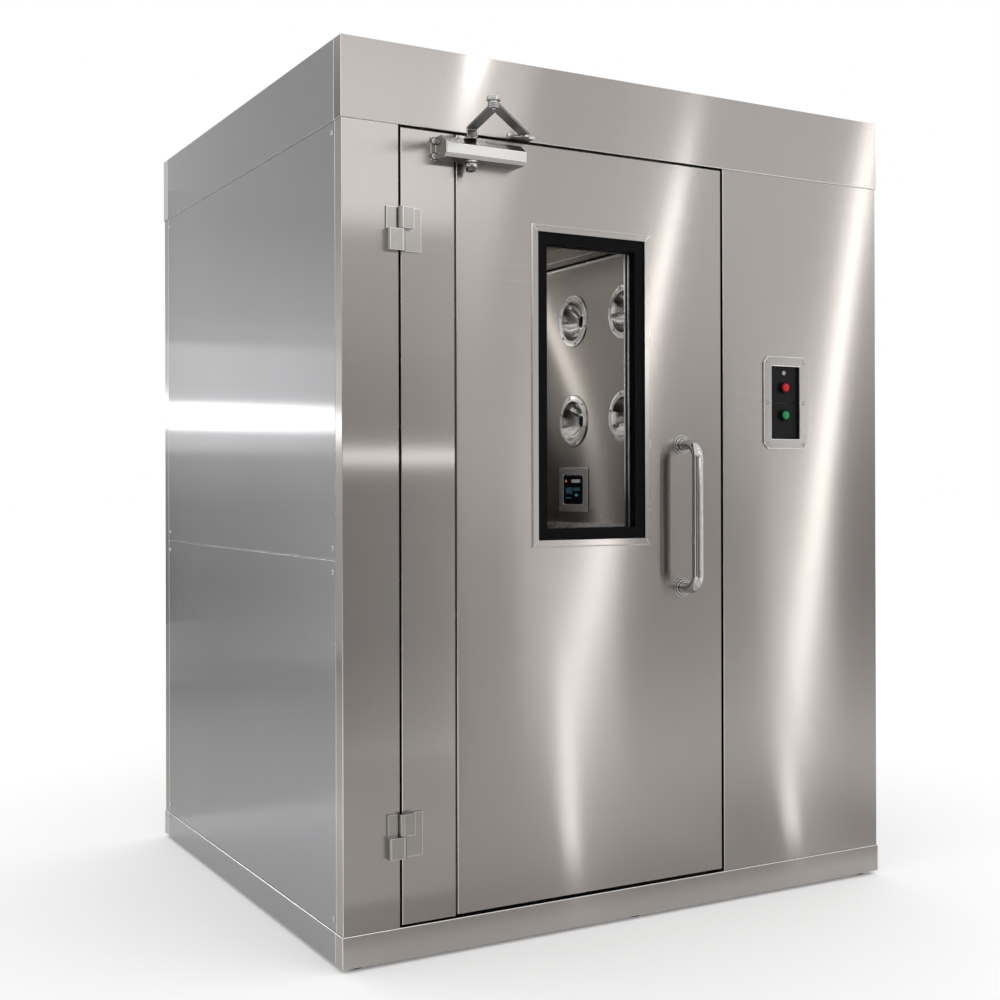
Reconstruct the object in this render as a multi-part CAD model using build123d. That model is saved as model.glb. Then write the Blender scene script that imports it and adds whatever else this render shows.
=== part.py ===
from math import atan2, cos, degrees, hypot, radians, sin
import os

from build123d import *

# Cleanroom air shower cabinet, in millimetres.
# The origin is the centre of the footprint on the floor; +Z is up, the entry door faces -Y.

# Cabinet
WIDTH = 1662.0
DEPTH = 1456.0
HEIGHT = 2160.0
FOOT_HEIGHT = 10.0
PLINTH_HEIGHT = 74.0
HEADER_HEIGHT = 190.0
BAND_PROUD = 2.5
PANEL_THICKNESS = 40.0
ROOF_THICKNESS = 30.0
SIDE_SEAM_HEIGHT = 948.0
SEAM = 1.5
EDGE_EASE = 1.2
FLOOR_THICKNESS = 6.0
FLOOR_LEDGE = 20.0
BEARER_WIDTH = 40.0
BEARER_DROP = 50.0
FOOT_RADIUS = 24.0
FOOT_INSET = 21.0

# Doorway and door leaf
HINGE_POST_WIDTH = 147.0
HINGE_GAP = 6.0
LATCH_GAP = 8.0
TOP_GAP = 6.0
BOTTOM_GAP = 8.0
STILE_BOTTOM_GAP = 5.0
LEAF_WIDTH = 945.5
LEAF_THICKNESS = 50.0
STILE_WIDTH = 141.5
GROOVE_WIDTH = 5.5
GROOVE_DEPTH = 12.0
STOP_CLEARANCE = 5.0
STOP_THICKNESS = 40.0
STOP_LAP = 25.0
JAMB_WIDTH = 40.0
HEAD_DROP = 170.0
HEAD_RISE = 40.0
SEAL_WIDTH = 12.0
SEAL_INSET = 6.0
SEAL_GAP = 0.5

# Window
WINDOW_WIDTH = 322.0
WINDOW_HEIGHT = 768.0
WINDOW_FROM_LATCH = 411.5
WINDOW_FROM_LEAF_TOP = 596.0
TRIM_WIDTH = 18.0
TRIM_PROUD = 4.0
GASKET_WIDTH = 28.0
GASKET_SET_BACK = 1.0
GLASS_DEPTH = 24.0
GLASS_THICKNESS = 6.0
GLASS_BITE = 12.0

# Handle
HANDLE_FROM_LATCH = 132.0
HANDLE_HEIGHT = 1039.0
HANDLE_SPACING = 375.0
HANDLE_RADIUS = 15.0
HANDLE_REACH = 70.0
HANDLE_BEND = 36.0
ROSE_RADIUS = 25.5
ROSE_STEP_RADIUS = 21.0
ROSE_THICKNESS = 4.0

# Hinges
HINGE_HEIGHT = 104.0
HINGE_FROM_TOP = 241.0
HINGE_FROM_BOTTOM = 209.0
HINGE_PIN_OUT = 10.0
HINGE_BARREL_RADIUS = 9.0
HINGE_PIN_RADIUS = 4.0
HINGE_PIN_LENGTH = 40.0
PIN_CLEARANCE = 0.3
HINGE_SPLIT = 1.5
HINGE_LEAF_THICKNESS = 5.0
FRAME_LEAF_REACH = 37.0
DOOR_LEAF_REACH = 54.0
DOOR_BLOCK_REACH = 29.0
HINGE_KNUCKLE_GAP = 10.0
HINGE_EASE = 3.0

# Door closer
CLOSER_FROM_HINGE = 94.0
CLOSER_LENGTH = 215.0
CLOSER_DEPTH = 58.0
CLOSER_HEIGHT = 52.0
CLOSER_FROM_LEAF_TOP = 16.0
CLOSER_TOP_CHAMFER_OUT = 28.0
CLOSER_TOP_CHAMFER_DOWN = 20.0
CLOSER_BOTTOM_CHAMFER = 9.0
BRACKET_REACH = 17.0
BRACKET_THICKNESS = 4.0
BRACKET_OVERHANG = 2.0
SPINDLE_FROM_BODY_END = 75.0
SPINDLE_OUT = 32.5
SPINDLE_BOSS_RADIUS = 17.0
SPINDLE_BOSS_HEIGHT = 2.0
SPINDLE_CAP_RADIUS = 16.0
SPINDLE_CAP_DROP = 26.0
ARM_WIDTH = 26.0
ARM_THICKNESS = 6.0
ARM_OVER_LEAF = 5.0
ARM_BEND = 3.0
ARM_LEG_OUT = 16.0
ARM_CLEARANCE = 0.5
ELBOW_FROM_SPINDLE_X = -46.0
ELBOW_FROM_SPINDLE_Y = -195.0
ELBOW_CAP_RADIUS = 15.0
ELBOW_CAP_HEIGHT = 12.0
ELBOW_NECK_RADIUS = 9.0
ELBOW_NECK_HEIGHT = 4.0
SHOE_FROM_SPINDLE = 148.0
SHOE_WIDTH = 60.0
SHOE_PLATE_THICKNESS = 5.0
SHOE_PLATE_HEIGHT = 12.0
SHOE_PIN_RADIUS = 5.0
SHOE_PIN_HEAD_RADIUS = 9.0
SHOE_PIN_HEAD = 4.0

# Chamber lining
CHAMBER_INSET = 6.5
INNER_WALL_THICKNESS = 20.0
CEILING_BELOW_HEADER = 156.0
CEILING_THICKNESS = 40.0
CEILING_RECESS = 30.0
SOFFIT_WIDTH = 99.0
RAIL_HEIGHT = 28.0
RAIL_BELOW_CEILING = 810.0
RAIL_PROUD = 8.0

# Air nozzles, in two rows, as shares of the height of the upper lining, and in columns along the depth
NOZZLE_LOW_ROW = 0.3926
NOZZLE_HIGH_ROW = 0.779
NOZZLE_COLUMNS = 3
NOZZLE_PITCH = 281.0
NOZZLE_FLANGE_RADIUS = 81.0
NOZZLE_FLANGE_THICKNESS = 4.0
NOZZLE_MOUTH_RADIUS = 64.0
NOZZLE_THROAT_RADIUS = 11.0
NOZZLE_DEPTH = 38.0
NOZZLE_NECK = 14.0
NOZZLE_WALL = 3.0
NOZZLE_FIT = 0.5

# Return air grille
GRILLE_WIDTH = 640.0
GRILLE_HEIGHT = 300.0
GRILLE_CENTRE_HEIGHT = 420.0
GRILLE_BORDER = 24.0
GRILLE_THICKNESS = 5.0
GRILLE_BLADES = 9
GRILLE_BLADE_THICKNESS = 2.5
GRILLE_BLADE_ANGLE = 35.0

# Front control panel
CONTROL_FROM_DOORWAY = 214.5
CONTROL_CENTRE_HEIGHT = 1347.0
CONTROL_WIDTH = 155.0
CONTROL_HEIGHT = 255.0
CONTROL_BORDER = 27.5
CONTROL_CORNER = 16.0
CONTROL_PROUD = 5.0
CONTROL_RECESS = 11.0
CONTROL_PLATE_THICKNESS = 8.0
CONTROL_SPLIT = 1.0
LAMP_UP = 42.0
LAMP_DOWN = 34.0
BEZEL_RADIUS = 14.0
BEZEL_HEIGHT = 10.0
LENS_RADIUS = 11.0
LENS_HEIGHT = 6.0

# Chamber controller
CONTROLLER_WIDTH = 167.0
CONTROLLER_HEIGHT = 139.0
CONTROLLER_OVER_RAIL = 33.0
CONTROLLER_THICKNESS = 4.0
SCREEN_WIDTH = 112.0
SCREEN_HEIGHT = 90.0
SCREEN_SET_BACK = 1.0

# Reference planes worked out from the sizes above
LEFT = -WIDTH / 2
FRONT = -DEPTH / 2
PANEL_LEFT = LEFT + BAND_PROUD
PANEL_RIGHT = -PANEL_LEFT
PANEL_FRONT = FRONT + BAND_PROUD
PANEL_BACK_FACE = PANEL_FRONT + PANEL_THICKNESS
BAND_THICKNESS = BAND_PROUD + PANEL_THICKNESS
INSIDE_LEFT = LEFT + BAND_THICKNESS
INSIDE_FRONT = FRONT + BAND_THICKNESS
PLINTH_TOP = FOOT_HEIGHT + PLINTH_HEIGHT
HEADER_BOTTOM = HEIGHT - HEADER_HEIGHT

POST_EDGE = LEFT + HINGE_POST_WIDTH
LEAF_LEFT = POST_EDGE + HINGE_GAP
LEAF_RIGHT = LEAF_LEFT + LEAF_WIDTH
LATCH_EDGE = LEAF_RIGHT + LATCH_GAP
LEAF_TOP = HEADER_BOTTOM - TOP_GAP
LEAF_BOTTOM = PLINTH_TOP + BOTTOM_GAP
STILE_BOTTOM = PLINTH_TOP + STILE_BOTTOM_GAP
LEAF_BACK = PANEL_FRONT + LEAF_THICKNESS
MAIN_LEFT = LEAF_LEFT + STILE_WIDTH + GROOVE_WIDTH
STOP_FRONT = LEAF_BACK + STOP_CLEARANCE
STOP_BACK = STOP_FRONT + STOP_THICKNESS
STOP_LEFT = LEAF_LEFT + STOP_LAP
STOP_RIGHT = LEAF_RIGHT - STOP_LAP

WALL_LEFT_FACE = LEAF_LEFT + CHAMBER_INSET
WALL_RIGHT_FACE = LEAF_RIGHT - CHAMBER_INSET
CHAMBER_TOP = HEADER_BOTTOM - CEILING_BELOW_HEADER
RAIL_TOP = CHAMBER_TOP - RAIL_BELOW_CEILING
RAIL_BOTTOM = RAIL_TOP - RAIL_HEIGHT
CONTROLLER_Z = RAIL_TOP + CONTROLLER_OVER_RAIL + CONTROLLER_HEIGHT / 2

WINDOW_X = LEAF_RIGHT - WINDOW_FROM_LATCH
WINDOW_Z = LEAF_TOP - WINDOW_FROM_LEAF_TOP
SIGHT_WIDTH = WINDOW_WIDTH - 2 * GASKET_WIDTH
SIGHT_HEIGHT = WINDOW_HEIGHT - 2 * GASKET_WIDTH
HANDLE_X = LEAF_RIGHT - HANDLE_FROM_LATCH
HINGE_X = (POST_EDGE + LEAF_LEFT) / 2
HINGE_HEIGHTS = (LEAF_BOTTOM + HINGE_FROM_BOTTOM, LEAF_TOP - HINGE_FROM_TOP)

CLOSER_LEFT = LEAF_LEFT + CLOSER_FROM_HINGE
CLOSER_TOP = LEAF_TOP - CLOSER_FROM_LEAF_TOP
CLOSER_BOTTOM = CLOSER_TOP - CLOSER_HEIGHT
SPINDLE_X = CLOSER_LEFT + SPINDLE_FROM_BODY_END
SPINDLE_Y = PANEL_FRONT - SPINDLE_OUT
ARM_FOOT_BOTTOM = CLOSER_TOP + SPINDLE_BOSS_HEIGHT + ARM_CLEARANCE
ARM_BOTTOM = LEAF_TOP + ARM_OVER_LEAF
ARM_TOP = ARM_BOTTOM + ARM_THICKNESS
ARM_RISE = ARM_BOTTOM - ARM_FOOT_BOTTOM
FOREARM_BOTTOM = ARM_TOP + ARM_CLEARANCE
FOREARM_TOP = FOREARM_BOTTOM + ARM_THICKNESS
ELBOW_X = SPINDLE_X + ELBOW_FROM_SPINDLE_X
ELBOW_Y = SPINDLE_Y + ELBOW_FROM_SPINDLE_Y
SHOE_X = SPINDLE_X + SHOE_FROM_SPINDLE
SHOE_Y = SPINDLE_Y

CONTROL_X = LATCH_EDGE + CONTROL_FROM_DOORWAY


def slab(x0, x1, y0, y1, z0, z1):
    """A box between two corners."""
    return Pos((x0 + x1) / 2, (y0 + y1) / 2, (z0 + z1) / 2) * Box(x1 - x0, y1 - y0, z1 - z0)


def eased(solid, size=EDGE_EASE):
    """A sheet-metal box with its folded edges slightly broken."""
    return chamfer(solid.edges(), size)


def to_back(shape):
    """The same piece on the exit side of the cabinet."""
    return mirror(shape, about=Plane.XZ)


def to_right(shape):
    """The same piece on the other side of the cabinet."""
    return mirror(shape, about=Plane.YZ)


def front_ring(width, height, border, y0, y1, x, z):
    """A rectangular frame that stands upright, facing the front."""
    outer = slab(x - width / 2, x + width / 2, y0, y1, z - height / 2, z + height / 2)
    inside = slab(x - width / 2 + border, x + width / 2 - border, y0, y1,
                  z - height / 2 + border, z + height / 2 - border)
    return outer - inside


def upright_disc(radius, y0, y1, x, z):
    """A round piece whose axis points to the front."""
    middle = Pos(x, (y0 + y1) / 2, z) * Rot(90, 0, 0)
    return middle * Cylinder(radius, y1 - y0)


# Cabinet base

def plinth_end_rail():
    face = slab(LEFT, -LEFT, FRONT, INSIDE_FRONT, FOOT_HEIGHT, PLINTH_TOP)
    ledge = slab(INSIDE_LEFT, -INSIDE_LEFT, INSIDE_FRONT, INSIDE_FRONT + FLOOR_LEDGE,
                 FOOT_HEIGHT, PLINTH_TOP - FLOOR_THICKNESS)
    return eased(face) + ledge


def plinth_side_rail():
    face = slab(LEFT, INSIDE_LEFT, INSIDE_FRONT, -INSIDE_FRONT, FOOT_HEIGHT, PLINTH_TOP)
    ledge = slab(INSIDE_LEFT, INSIDE_LEFT + FLOOR_LEDGE, INSIDE_FRONT + FLOOR_LEDGE,
                 -INSIDE_FRONT - FLOOR_LEDGE, FOOT_HEIGHT, PLINTH_TOP - FLOOR_THICKNESS)
    return eased(face) + ledge


def levelling_feet():
    foot = Pos(0, 0, FOOT_HEIGHT / 2) * Cylinder(FOOT_RADIUS, FOOT_HEIGHT)
    row_x = LEFT + FOOT_INSET + FOOT_RADIUS
    row_y = FRONT + FOOT_INSET + FOOT_RADIUS
    return [Pos(x, y, 0) * foot for x in (row_x, 0, -row_x) for y in (row_y, -row_y)]


def floor_plate():
    top = slab(INSIDE_LEFT, -INSIDE_LEFT, INSIDE_FRONT, -INSIDE_FRONT,
               PLINTH_TOP - FLOOR_THICKNESS, PLINTH_TOP)
    bearer_y = INSIDE_FRONT + FLOOR_LEDGE
    bearer_top = PLINTH_TOP - FLOOR_THICKNESS
    for x in (WALL_LEFT_FACE - INNER_WALL_THICKNESS, WALL_RIGHT_FACE):
        top += slab(x, x + BEARER_WIDTH, bearer_y, -bearer_y, bearer_top - BEARER_DROP, bearer_top)
    return top


# Cabinet shell

def header_end():
    return eased(slab(LEFT, -LEFT, FRONT, INSIDE_FRONT, HEADER_BOTTOM, HEIGHT))


def header_side():
    return eased(slab(LEFT, INSIDE_LEFT, INSIDE_FRONT, -INSIDE_FRONT, HEADER_BOTTOM, HEIGHT))


def roof_panel():
    return eased(slab(INSIDE_LEFT, -INSIDE_LEFT, INSIDE_FRONT, -INSIDE_FRONT,
                      HEIGHT - ROOF_THICKNESS, HEIGHT))


def hinge_post():
    return eased(slab(PANEL_LEFT, POST_EDGE, PANEL_FRONT, PANEL_BACK_FACE, PLINTH_TOP, HEADER_BOTTOM))


def service_panel():
    """The broad panel beside the doorway, in front of the blower section."""
    return eased(slab(LATCH_EDGE, PANEL_RIGHT, PANEL_FRONT, PANEL_BACK_FACE, PLINTH_TOP, HEADER_BOTTOM))


def front_panel():
    pocket_width = CONTROL_WIDTH - 2 * CONTROL_BORDER
    pocket_height = CONTROL_HEIGHT - 2 * CONTROL_BORDER
    pocket_depth = CONTROL_RECESS - CONTROL_PROUD + CONTROL_PLATE_THICKNESS
    pocket = slab(CONTROL_X - pocket_width / 2, CONTROL_X + pocket_width / 2,
                  PANEL_FRONT, PANEL_FRONT + pocket_depth,
                  CONTROL_CENTRE_HEIGHT - pocket_height / 2, CONTROL_CENTRE_HEIGHT + pocket_height / 2)
    return service_panel() - pocket


def side_panels():
    seam_low = SIDE_SEAM_HEIGHT - SEAM / 2
    seam_high = SIDE_SEAM_HEIGHT + SEAM / 2
    lower = slab(PANEL_LEFT, INSIDE_LEFT, INSIDE_FRONT, -INSIDE_FRONT, PLINTH_TOP, seam_low)
    upper = slab(PANEL_LEFT, INSIDE_LEFT, INSIDE_FRONT, -INSIDE_FRONT, seam_high, HEADER_BOTTOM)
    return [eased(lower), eased(upper)]


# Door frame

def jamb(post_edge, stop_edge, away):
    """One upright of the door frame: a leg behind the cabinet face and a stop behind the leaf."""
    outline = Polyline(
        (post_edge + away * JAMB_WIDTH, PANEL_BACK_FACE),
        (post_edge, PANEL_BACK_FACE),
        (post_edge, STOP_FRONT),
        (stop_edge, STOP_FRONT),
        (stop_edge, STOP_BACK),
        (post_edge + away * JAMB_WIDTH, STOP_BACK),
        close=True,
    )
    return Pos(0, 0, PLINTH_TOP) * extrude(make_face(outline), HEADER_BOTTOM - PLINTH_TOP)


def door_head():
    """The cross piece over the doorway, hooked behind the header."""
    drop = slab(STOP_LEFT, STOP_RIGHT, STOP_FRONT, STOP_BACK, HEADER_BOTTOM - HEAD_DROP, HEADER_BOTTOM)
    hook = slab(STOP_LEFT, STOP_RIGHT, INSIDE_FRONT, STOP_BACK, HEADER_BOTTOM, HEADER_BOTTOM + HEAD_RISE)
    return drop + hook


# Door leaf

def window_cut(y_front):
    """The stepped hole of the window: gasket rebate, glass rebate and sight opening."""
    def hole(width, height, y0, y1):
        return slab(WINDOW_X - width / 2, WINDOW_X + width / 2, y0, y1,
                    WINDOW_Z - height / 2, WINDOW_Z + height / 2)
    glass_back = y_front + GLASS_DEPTH + GLASS_THICKNESS
    rebate = hole(WINDOW_WIDTH, WINDOW_HEIGHT, y_front, y_front + GLASS_DEPTH)
    glass_rebate = hole(SIGHT_WIDTH + 2 * GLASS_BITE, SIGHT_HEIGHT + 2 * GLASS_BITE, y_front, glass_back)
    sight = hole(SIGHT_WIDTH, SIGHT_HEIGHT, y_front, LEAF_BACK)
    return rebate + glass_rebate + sight


def door_leaf():
    panel = eased(slab(MAIN_LEFT, LEAF_RIGHT, PANEL_FRONT, LEAF_BACK, LEAF_BOTTOM, LEAF_TOP))
    tongue = slab(MAIN_LEFT - GROOVE_WIDTH, MAIN_LEFT, PANEL_FRONT + GROOVE_DEPTH,
                  LEAF_BACK - EDGE_EASE, LEAF_BOTTOM + EDGE_EASE, LEAF_TOP - EDGE_EASE)
    return panel + tongue - window_cut(PANEL_FRONT)


def hinge_stile():
    return eased(slab(LEAF_LEFT, LEAF_LEFT + STILE_WIDTH, PANEL_FRONT, LEAF_BACK, STILE_BOTTOM, LEAF_TOP))


def window_trim():
    """A raised steel border, bevelled down to the leaf all round and mitred at its corners."""
    ring = front_ring(WINDOW_WIDTH + 2 * TRIM_WIDTH, WINDOW_HEIGHT + 2 * TRIM_WIDTH, TRIM_WIDTH,
                      PANEL_FRONT - TRIM_PROUD, PANEL_FRONT, WINDOW_X, WINDOW_Z)
    rim = ring.faces().sort_by(Axis.Y)[0].outer_wire().edges()
    return chamfer(rim, TRIM_PROUD * 0.75)


def window_gasket():
    return front_ring(WINDOW_WIDTH, WINDOW_HEIGHT, GASKET_WIDTH, PANEL_FRONT + GASKET_SET_BACK,
                      PANEL_FRONT + GLASS_DEPTH, WINDOW_X, WINDOW_Z)


def window_glass():
    half_width = SIGHT_WIDTH / 2 + GLASS_BITE
    half_height = SIGHT_HEIGHT / 2 + GLASS_BITE
    return slab(WINDOW_X - half_width, WINDOW_X + half_width, PANEL_FRONT + GLASS_DEPTH,
                PANEL_FRONT + GLASS_DEPTH + GLASS_THICKNESS,
                WINDOW_Z - half_height, WINDOW_Z + half_height)


def door_seal():
    """The rubber seal round the top and sides of the leaf's back."""
    left = LEAF_LEFT + SEAL_INSET
    right = LEAF_RIGHT - SEAL_INSET
    top = LEAF_TOP - SEAL_INSET
    outer = slab(left, right, LEAF_BACK, STOP_FRONT - SEAL_GAP, LEAF_BOTTOM, top)
    inside = slab(left + SEAL_WIDTH, right - SEAL_WIDTH, LEAF_BACK, STOP_FRONT - SEAL_GAP,
                  LEAF_BOTTOM, top - SEAL_WIDTH)
    return outer - inside


def pull_handle():
    """A round tube bent into a D, on two stepped roses."""
    low = HANDLE_HEIGHT - HANDLE_SPACING / 2
    high = HANDLE_HEIGHT + HANDLE_SPACING / 2
    bar_y = PANEL_FRONT - HANDLE_REACH
    path = FilletPolyline(
        (HANDLE_X, PANEL_FRONT, low),
        (HANDLE_X, bar_y, low),
        (HANDLE_X, bar_y, high),
        (HANDLE_X, PANEL_FRONT, high),
        radius=HANDLE_BEND,
    )
    start = Plane(origin=path @ 0, z_dir=path % 0)
    handle = sweep(start * Circle(HANDLE_RADIUS), path=path)
    for z in (low, high):
        base = upright_disc(ROSE_RADIUS, PANEL_FRONT - ROSE_THICKNESS, PANEL_FRONT, HANDLE_X, z)
        step = upright_disc(ROSE_STEP_RADIUS, PANEL_FRONT - 2 * ROSE_THICKNESS, PANEL_FRONT, HANDLE_X, z)
        handle += base + step
    return handle


# Hinges

def hinge_block(u0, u1, z0, z1):
    """A thick part of a hinge leaf, from the cabinet face out to the front of the barrel."""
    front = PANEL_FRONT - HINGE_PIN_OUT - HINGE_BARREL_RADIUS
    return slab(HINGE_X + u0, HINGE_X + u1, front, PANEL_FRONT, z0, z1)


def hinge_plate(u0, u1, z0, z1):
    return slab(HINGE_X + u0, HINGE_X + u1, PANEL_FRONT - HINGE_LEAF_THICKNESS, PANEL_FRONT, z0, z1)


def hinge_rod(radius, z0, z1):
    return Pos(HINGE_X, PANEL_FRONT - HINGE_PIN_OUT, (z0 + z1) / 2) * Cylinder(radius, z1 - z0)


def frame_hinge(z):
    """The fixed half: lower barrel block with its pin, and a flat leaf above."""
    low = z - HINGE_HEIGHT / 2
    high = z + HINGE_HEIGHT / 2
    split = z - HINGE_SPLIT / 2
    block = hinge_block(-FRAME_LEAF_REACH, 0, low, split)
    outer_edge = block.edges().filter_by(Axis.Z).sort_by(Axis.Y)[:2].sort_by(Axis.X)[0]
    block = chamfer(outer_edge, HINGE_EASE)
    leaf = hinge_plate(-FRAME_LEAF_REACH, -HINGE_KNUCKLE_GAP, split, high)
    barrel = hinge_rod(HINGE_BARREL_RADIUS, low, split)
    pin = hinge_rod(HINGE_PIN_RADIUS, split, split + HINGE_PIN_LENGTH)
    return block + leaf + barrel + pin


def door_hinge(z):
    """The moving half: upper barrel block that drops over the pin, and a flat leaf below."""
    low = z - HINGE_HEIGHT / 2
    high = z + HINGE_HEIGHT / 2
    split = z + HINGE_SPLIT / 2
    block = hinge_block(0, DOOR_BLOCK_REACH, split, high)
    step = hinge_plate(DOOR_BLOCK_REACH, DOOR_LEAF_REACH, split, high)
    leaf = hinge_plate(HINGE_KNUCKLE_GAP, DOOR_LEAF_REACH, low, split)
    barrel = hinge_rod(HINGE_BARREL_RADIUS, split, high)
    bore = hinge_rod(HINGE_PIN_RADIUS + PIN_CLEARANCE, split, split + HINGE_PIN_LENGTH)
    return block + barrel + step + leaf - bore


# Door closer

def closer_profile():
    """The closer's cross-section, as (out from the door, height) pairs turned into a face."""
    back = PANEL_FRONT
    front = PANEL_FRONT - CLOSER_DEPTH
    outline = Polyline(
        (0, back, CLOSER_BOTTOM),
        (0, back, CLOSER_TOP),
        (0, front + CLOSER_TOP_CHAMFER_OUT, CLOSER_TOP),
        (0, front, CLOSER_TOP - CLOSER_TOP_CHAMFER_DOWN),
        (0, front, CLOSER_BOTTOM + CLOSER_BOTTOM_CHAMFER),
        (0, front + CLOSER_BOTTOM_CHAMFER, CLOSER_BOTTOM),
        close=True,
    )
    return make_face(outline)


def closer_body():
    body = Pos(CLOSER_LEFT, 0, 0) * extrude(closer_profile(), CLOSER_LENGTH, dir=(1, 0, 0))
    boss = Pos(SPINDLE_X, SPINDLE_Y, CLOSER_TOP + SPINDLE_BOSS_HEIGHT / 2)
    body += boss * Cylinder(SPINDLE_BOSS_RADIUS, SPINDLE_BOSS_HEIGHT)
    cap = Cylinder(SPINDLE_CAP_RADIUS, SPINDLE_CAP_DROP)
    cap = chamfer(cap.edges().sort_by(Axis.Z)[0], SPINDLE_CAP_RADIUS / 2)
    return body + Pos(SPINDLE_X, SPINDLE_Y, CLOSER_BOTTOM - SPINDLE_CAP_DROP / 2) * cap


def closer_bracket():
    """The folded end bracket: a cheek over the body's end and a flange screwed to the door."""
    cheek = extrude(offset(closer_profile(), BRACKET_OVERHANG, kind=Kind.INTERSECTION),
                    BRACKET_THICKNESS, dir=(-1, 0, 0))
    cheek = Pos(CLOSER_LEFT, 0, 0) * cheek
    wall = slab(CLOSER_LEFT - BRACKET_REACH, CLOSER_LEFT + CLOSER_LENGTH, PANEL_FRONT,
                PANEL_FRONT + LEAF_THICKNESS, CLOSER_BOTTOM - CLOSER_HEIGHT, CLOSER_TOP + CLOSER_HEIGHT)
    flange = slab(CLOSER_LEFT - BRACKET_REACH, CLOSER_LEFT, PANEL_FRONT - BRACKET_THICKNESS, PANEL_FRONT,
                  CLOSER_BOTTOM - BRACKET_OVERHANG, CLOSER_TOP + BRACKET_OVERHANG)
    return cheek - wall + flange


def bar_between(x0, y0, x1, y1, z0, z1):
    """A flat bar with round ends on two pivots."""
    length = hypot(x1 - x0, y1 - y0)
    turn = degrees(atan2(y1 - y0, x1 - x0))
    blank = extrude(SlotCenterToCenter(length, ARM_WIDTH), z1 - z0)
    return Pos((x0 + x1) / 2, (y0 + y1) / 2, z0) * Rot(0, 0, turn) * blank


def closer_main_arm():
    """A flat bar cranked up from the spindle, over the top of the leaf."""
    length = hypot(ELBOW_FROM_SPINDLE_X, ELBOW_FROM_SPINDLE_Y)
    turn = degrees(atan2(ELBOW_FROM_SPINDLE_Y, ELBOW_FROM_SPINDLE_X))
    leg_in = ARM_LEG_OUT - ARM_THICKNESS
    half = ARM_WIDTH / 2
    side = Polyline(
        (-half, 0, 0),
        (ARM_LEG_OUT, 0, 0),
        (ARM_LEG_OUT, 0, ARM_RISE),
        (length + half, 0, ARM_RISE),
        (length + half, 0, ARM_RISE + ARM_THICKNESS),
        (leg_in, 0, ARM_RISE + ARM_THICKNESS),
        (leg_in, 0, ARM_THICKNESS),
        (-half, 0, ARM_THICKNESS),
        close=True,
    )
    strip = extrude(make_face(side), ARM_WIDTH / 2, dir=(0, 1, 0), both=True)
    folds = strip.edges().filter_by(Axis.Y).filter_by(
        lambda edge: leg_in - 1 < edge.center().X < ARM_LEG_OUT + 1)
    strip = fillet(folds, ARM_BEND)
    plan = Pos(length / 2, 0, 0) * extrude(SlotCenterToCenter(length, ARM_WIDTH), ARM_RISE + ARM_THICKNESS)
    arm = strip & plan
    nut = Pos(0, 0, ARM_THICKNESS) * extrude(RegularPolygon(ARM_WIDTH / 3, 6), ARM_THICKNESS)
    return Pos(SPINDLE_X, SPINDLE_Y, ARM_FOOT_BOTTOM) * Rot(0, 0, turn) * (arm + nut)


def closer_forearm():
    """A flat bar from the shoe's pin to the elbow, whose capped pivot stands on it."""
    bar = bar_between(SHOE_X, SHOE_Y, ELBOW_X, ELBOW_Y, FOREARM_BOTTOM, FOREARM_TOP)
    hole = Pos(SHOE_X, SHOE_Y, (FOREARM_BOTTOM + FOREARM_TOP) / 2)
    bar -= hole * Cylinder(SHOE_PIN_RADIUS + PIN_CLEARANCE, ARM_THICKNESS)
    neck = Pos(ELBOW_X, ELBOW_Y, FOREARM_TOP + ELBOW_NECK_HEIGHT / 2)
    neck *= Cylinder(ELBOW_NECK_RADIUS, ELBOW_NECK_HEIGHT)
    cap = Cylinder(ELBOW_CAP_RADIUS, ELBOW_CAP_HEIGHT)
    cap = chamfer(cap.edges().sort_by(Axis.Z)[-1], ELBOW_CAP_HEIGHT / 2)
    cap = Pos(ELBOW_X, ELBOW_Y, FOREARM_TOP + ELBOW_NECK_HEIGHT + ELBOW_CAP_HEIGHT / 2) * cap
    return bar + neck + cap


def closer_shoe():
    """The angle bracket on the header, with the pin that carries the forearm."""
    plate_bottom = HEADER_BOTTOM + EDGE_EASE
    plate = slab(SHOE_X - SHOE_WIDTH / 2, SHOE_X + SHOE_WIDTH / 2, FRONT - SHOE_PLATE_THICKNESS, FRONT,
                 plate_bottom, plate_bottom + SHOE_PLATE_HEIGHT)
    shelf = slab(SHOE_X - SHOE_WIDTH / 2, SHOE_X + SHOE_WIDTH / 2, SHOE_Y, FRONT, ARM_BOTTOM, ARM_TOP)
    nose = Pos(SHOE_X, SHOE_Y, (ARM_BOTTOM + ARM_TOP) / 2) * Cylinder(ARM_WIDTH / 2, ARM_THICKNESS)
    head_bottom = FOREARM_TOP + ARM_CLEARANCE
    pin = Pos(SHOE_X, SHOE_Y, (ARM_TOP + head_bottom) / 2)
    pin *= Cylinder(SHOE_PIN_RADIUS, head_bottom - ARM_TOP)
    head = Pos(SHOE_X, SHOE_Y, head_bottom + SHOE_PIN_HEAD / 2)
    head *= Cylinder(SHOE_PIN_HEAD_RADIUS, SHOE_PIN_HEAD)
    return plate + shelf + nose + pin + head


# Chamber lining

def nozzle_places():
    middle = (NOZZLE_COLUMNS - 1) / 2
    depths = [(column - middle) * NOZZLE_PITCH for column in range(NOZZLE_COLUMNS)]
    rows = [RAIL_TOP + share * RAIL_BELOW_CEILING for share in (NOZZLE_LOW_ROW, NOZZLE_HIGH_ROW)]
    return [(y, z) for y in depths for z in rows]


def inner_wall_blank(z0, z1):
    return slab(WALL_RIGHT_FACE, WALL_RIGHT_FACE + INNER_WALL_THICKNESS, STOP_BACK, -STOP_BACK, z0, z1)


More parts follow.
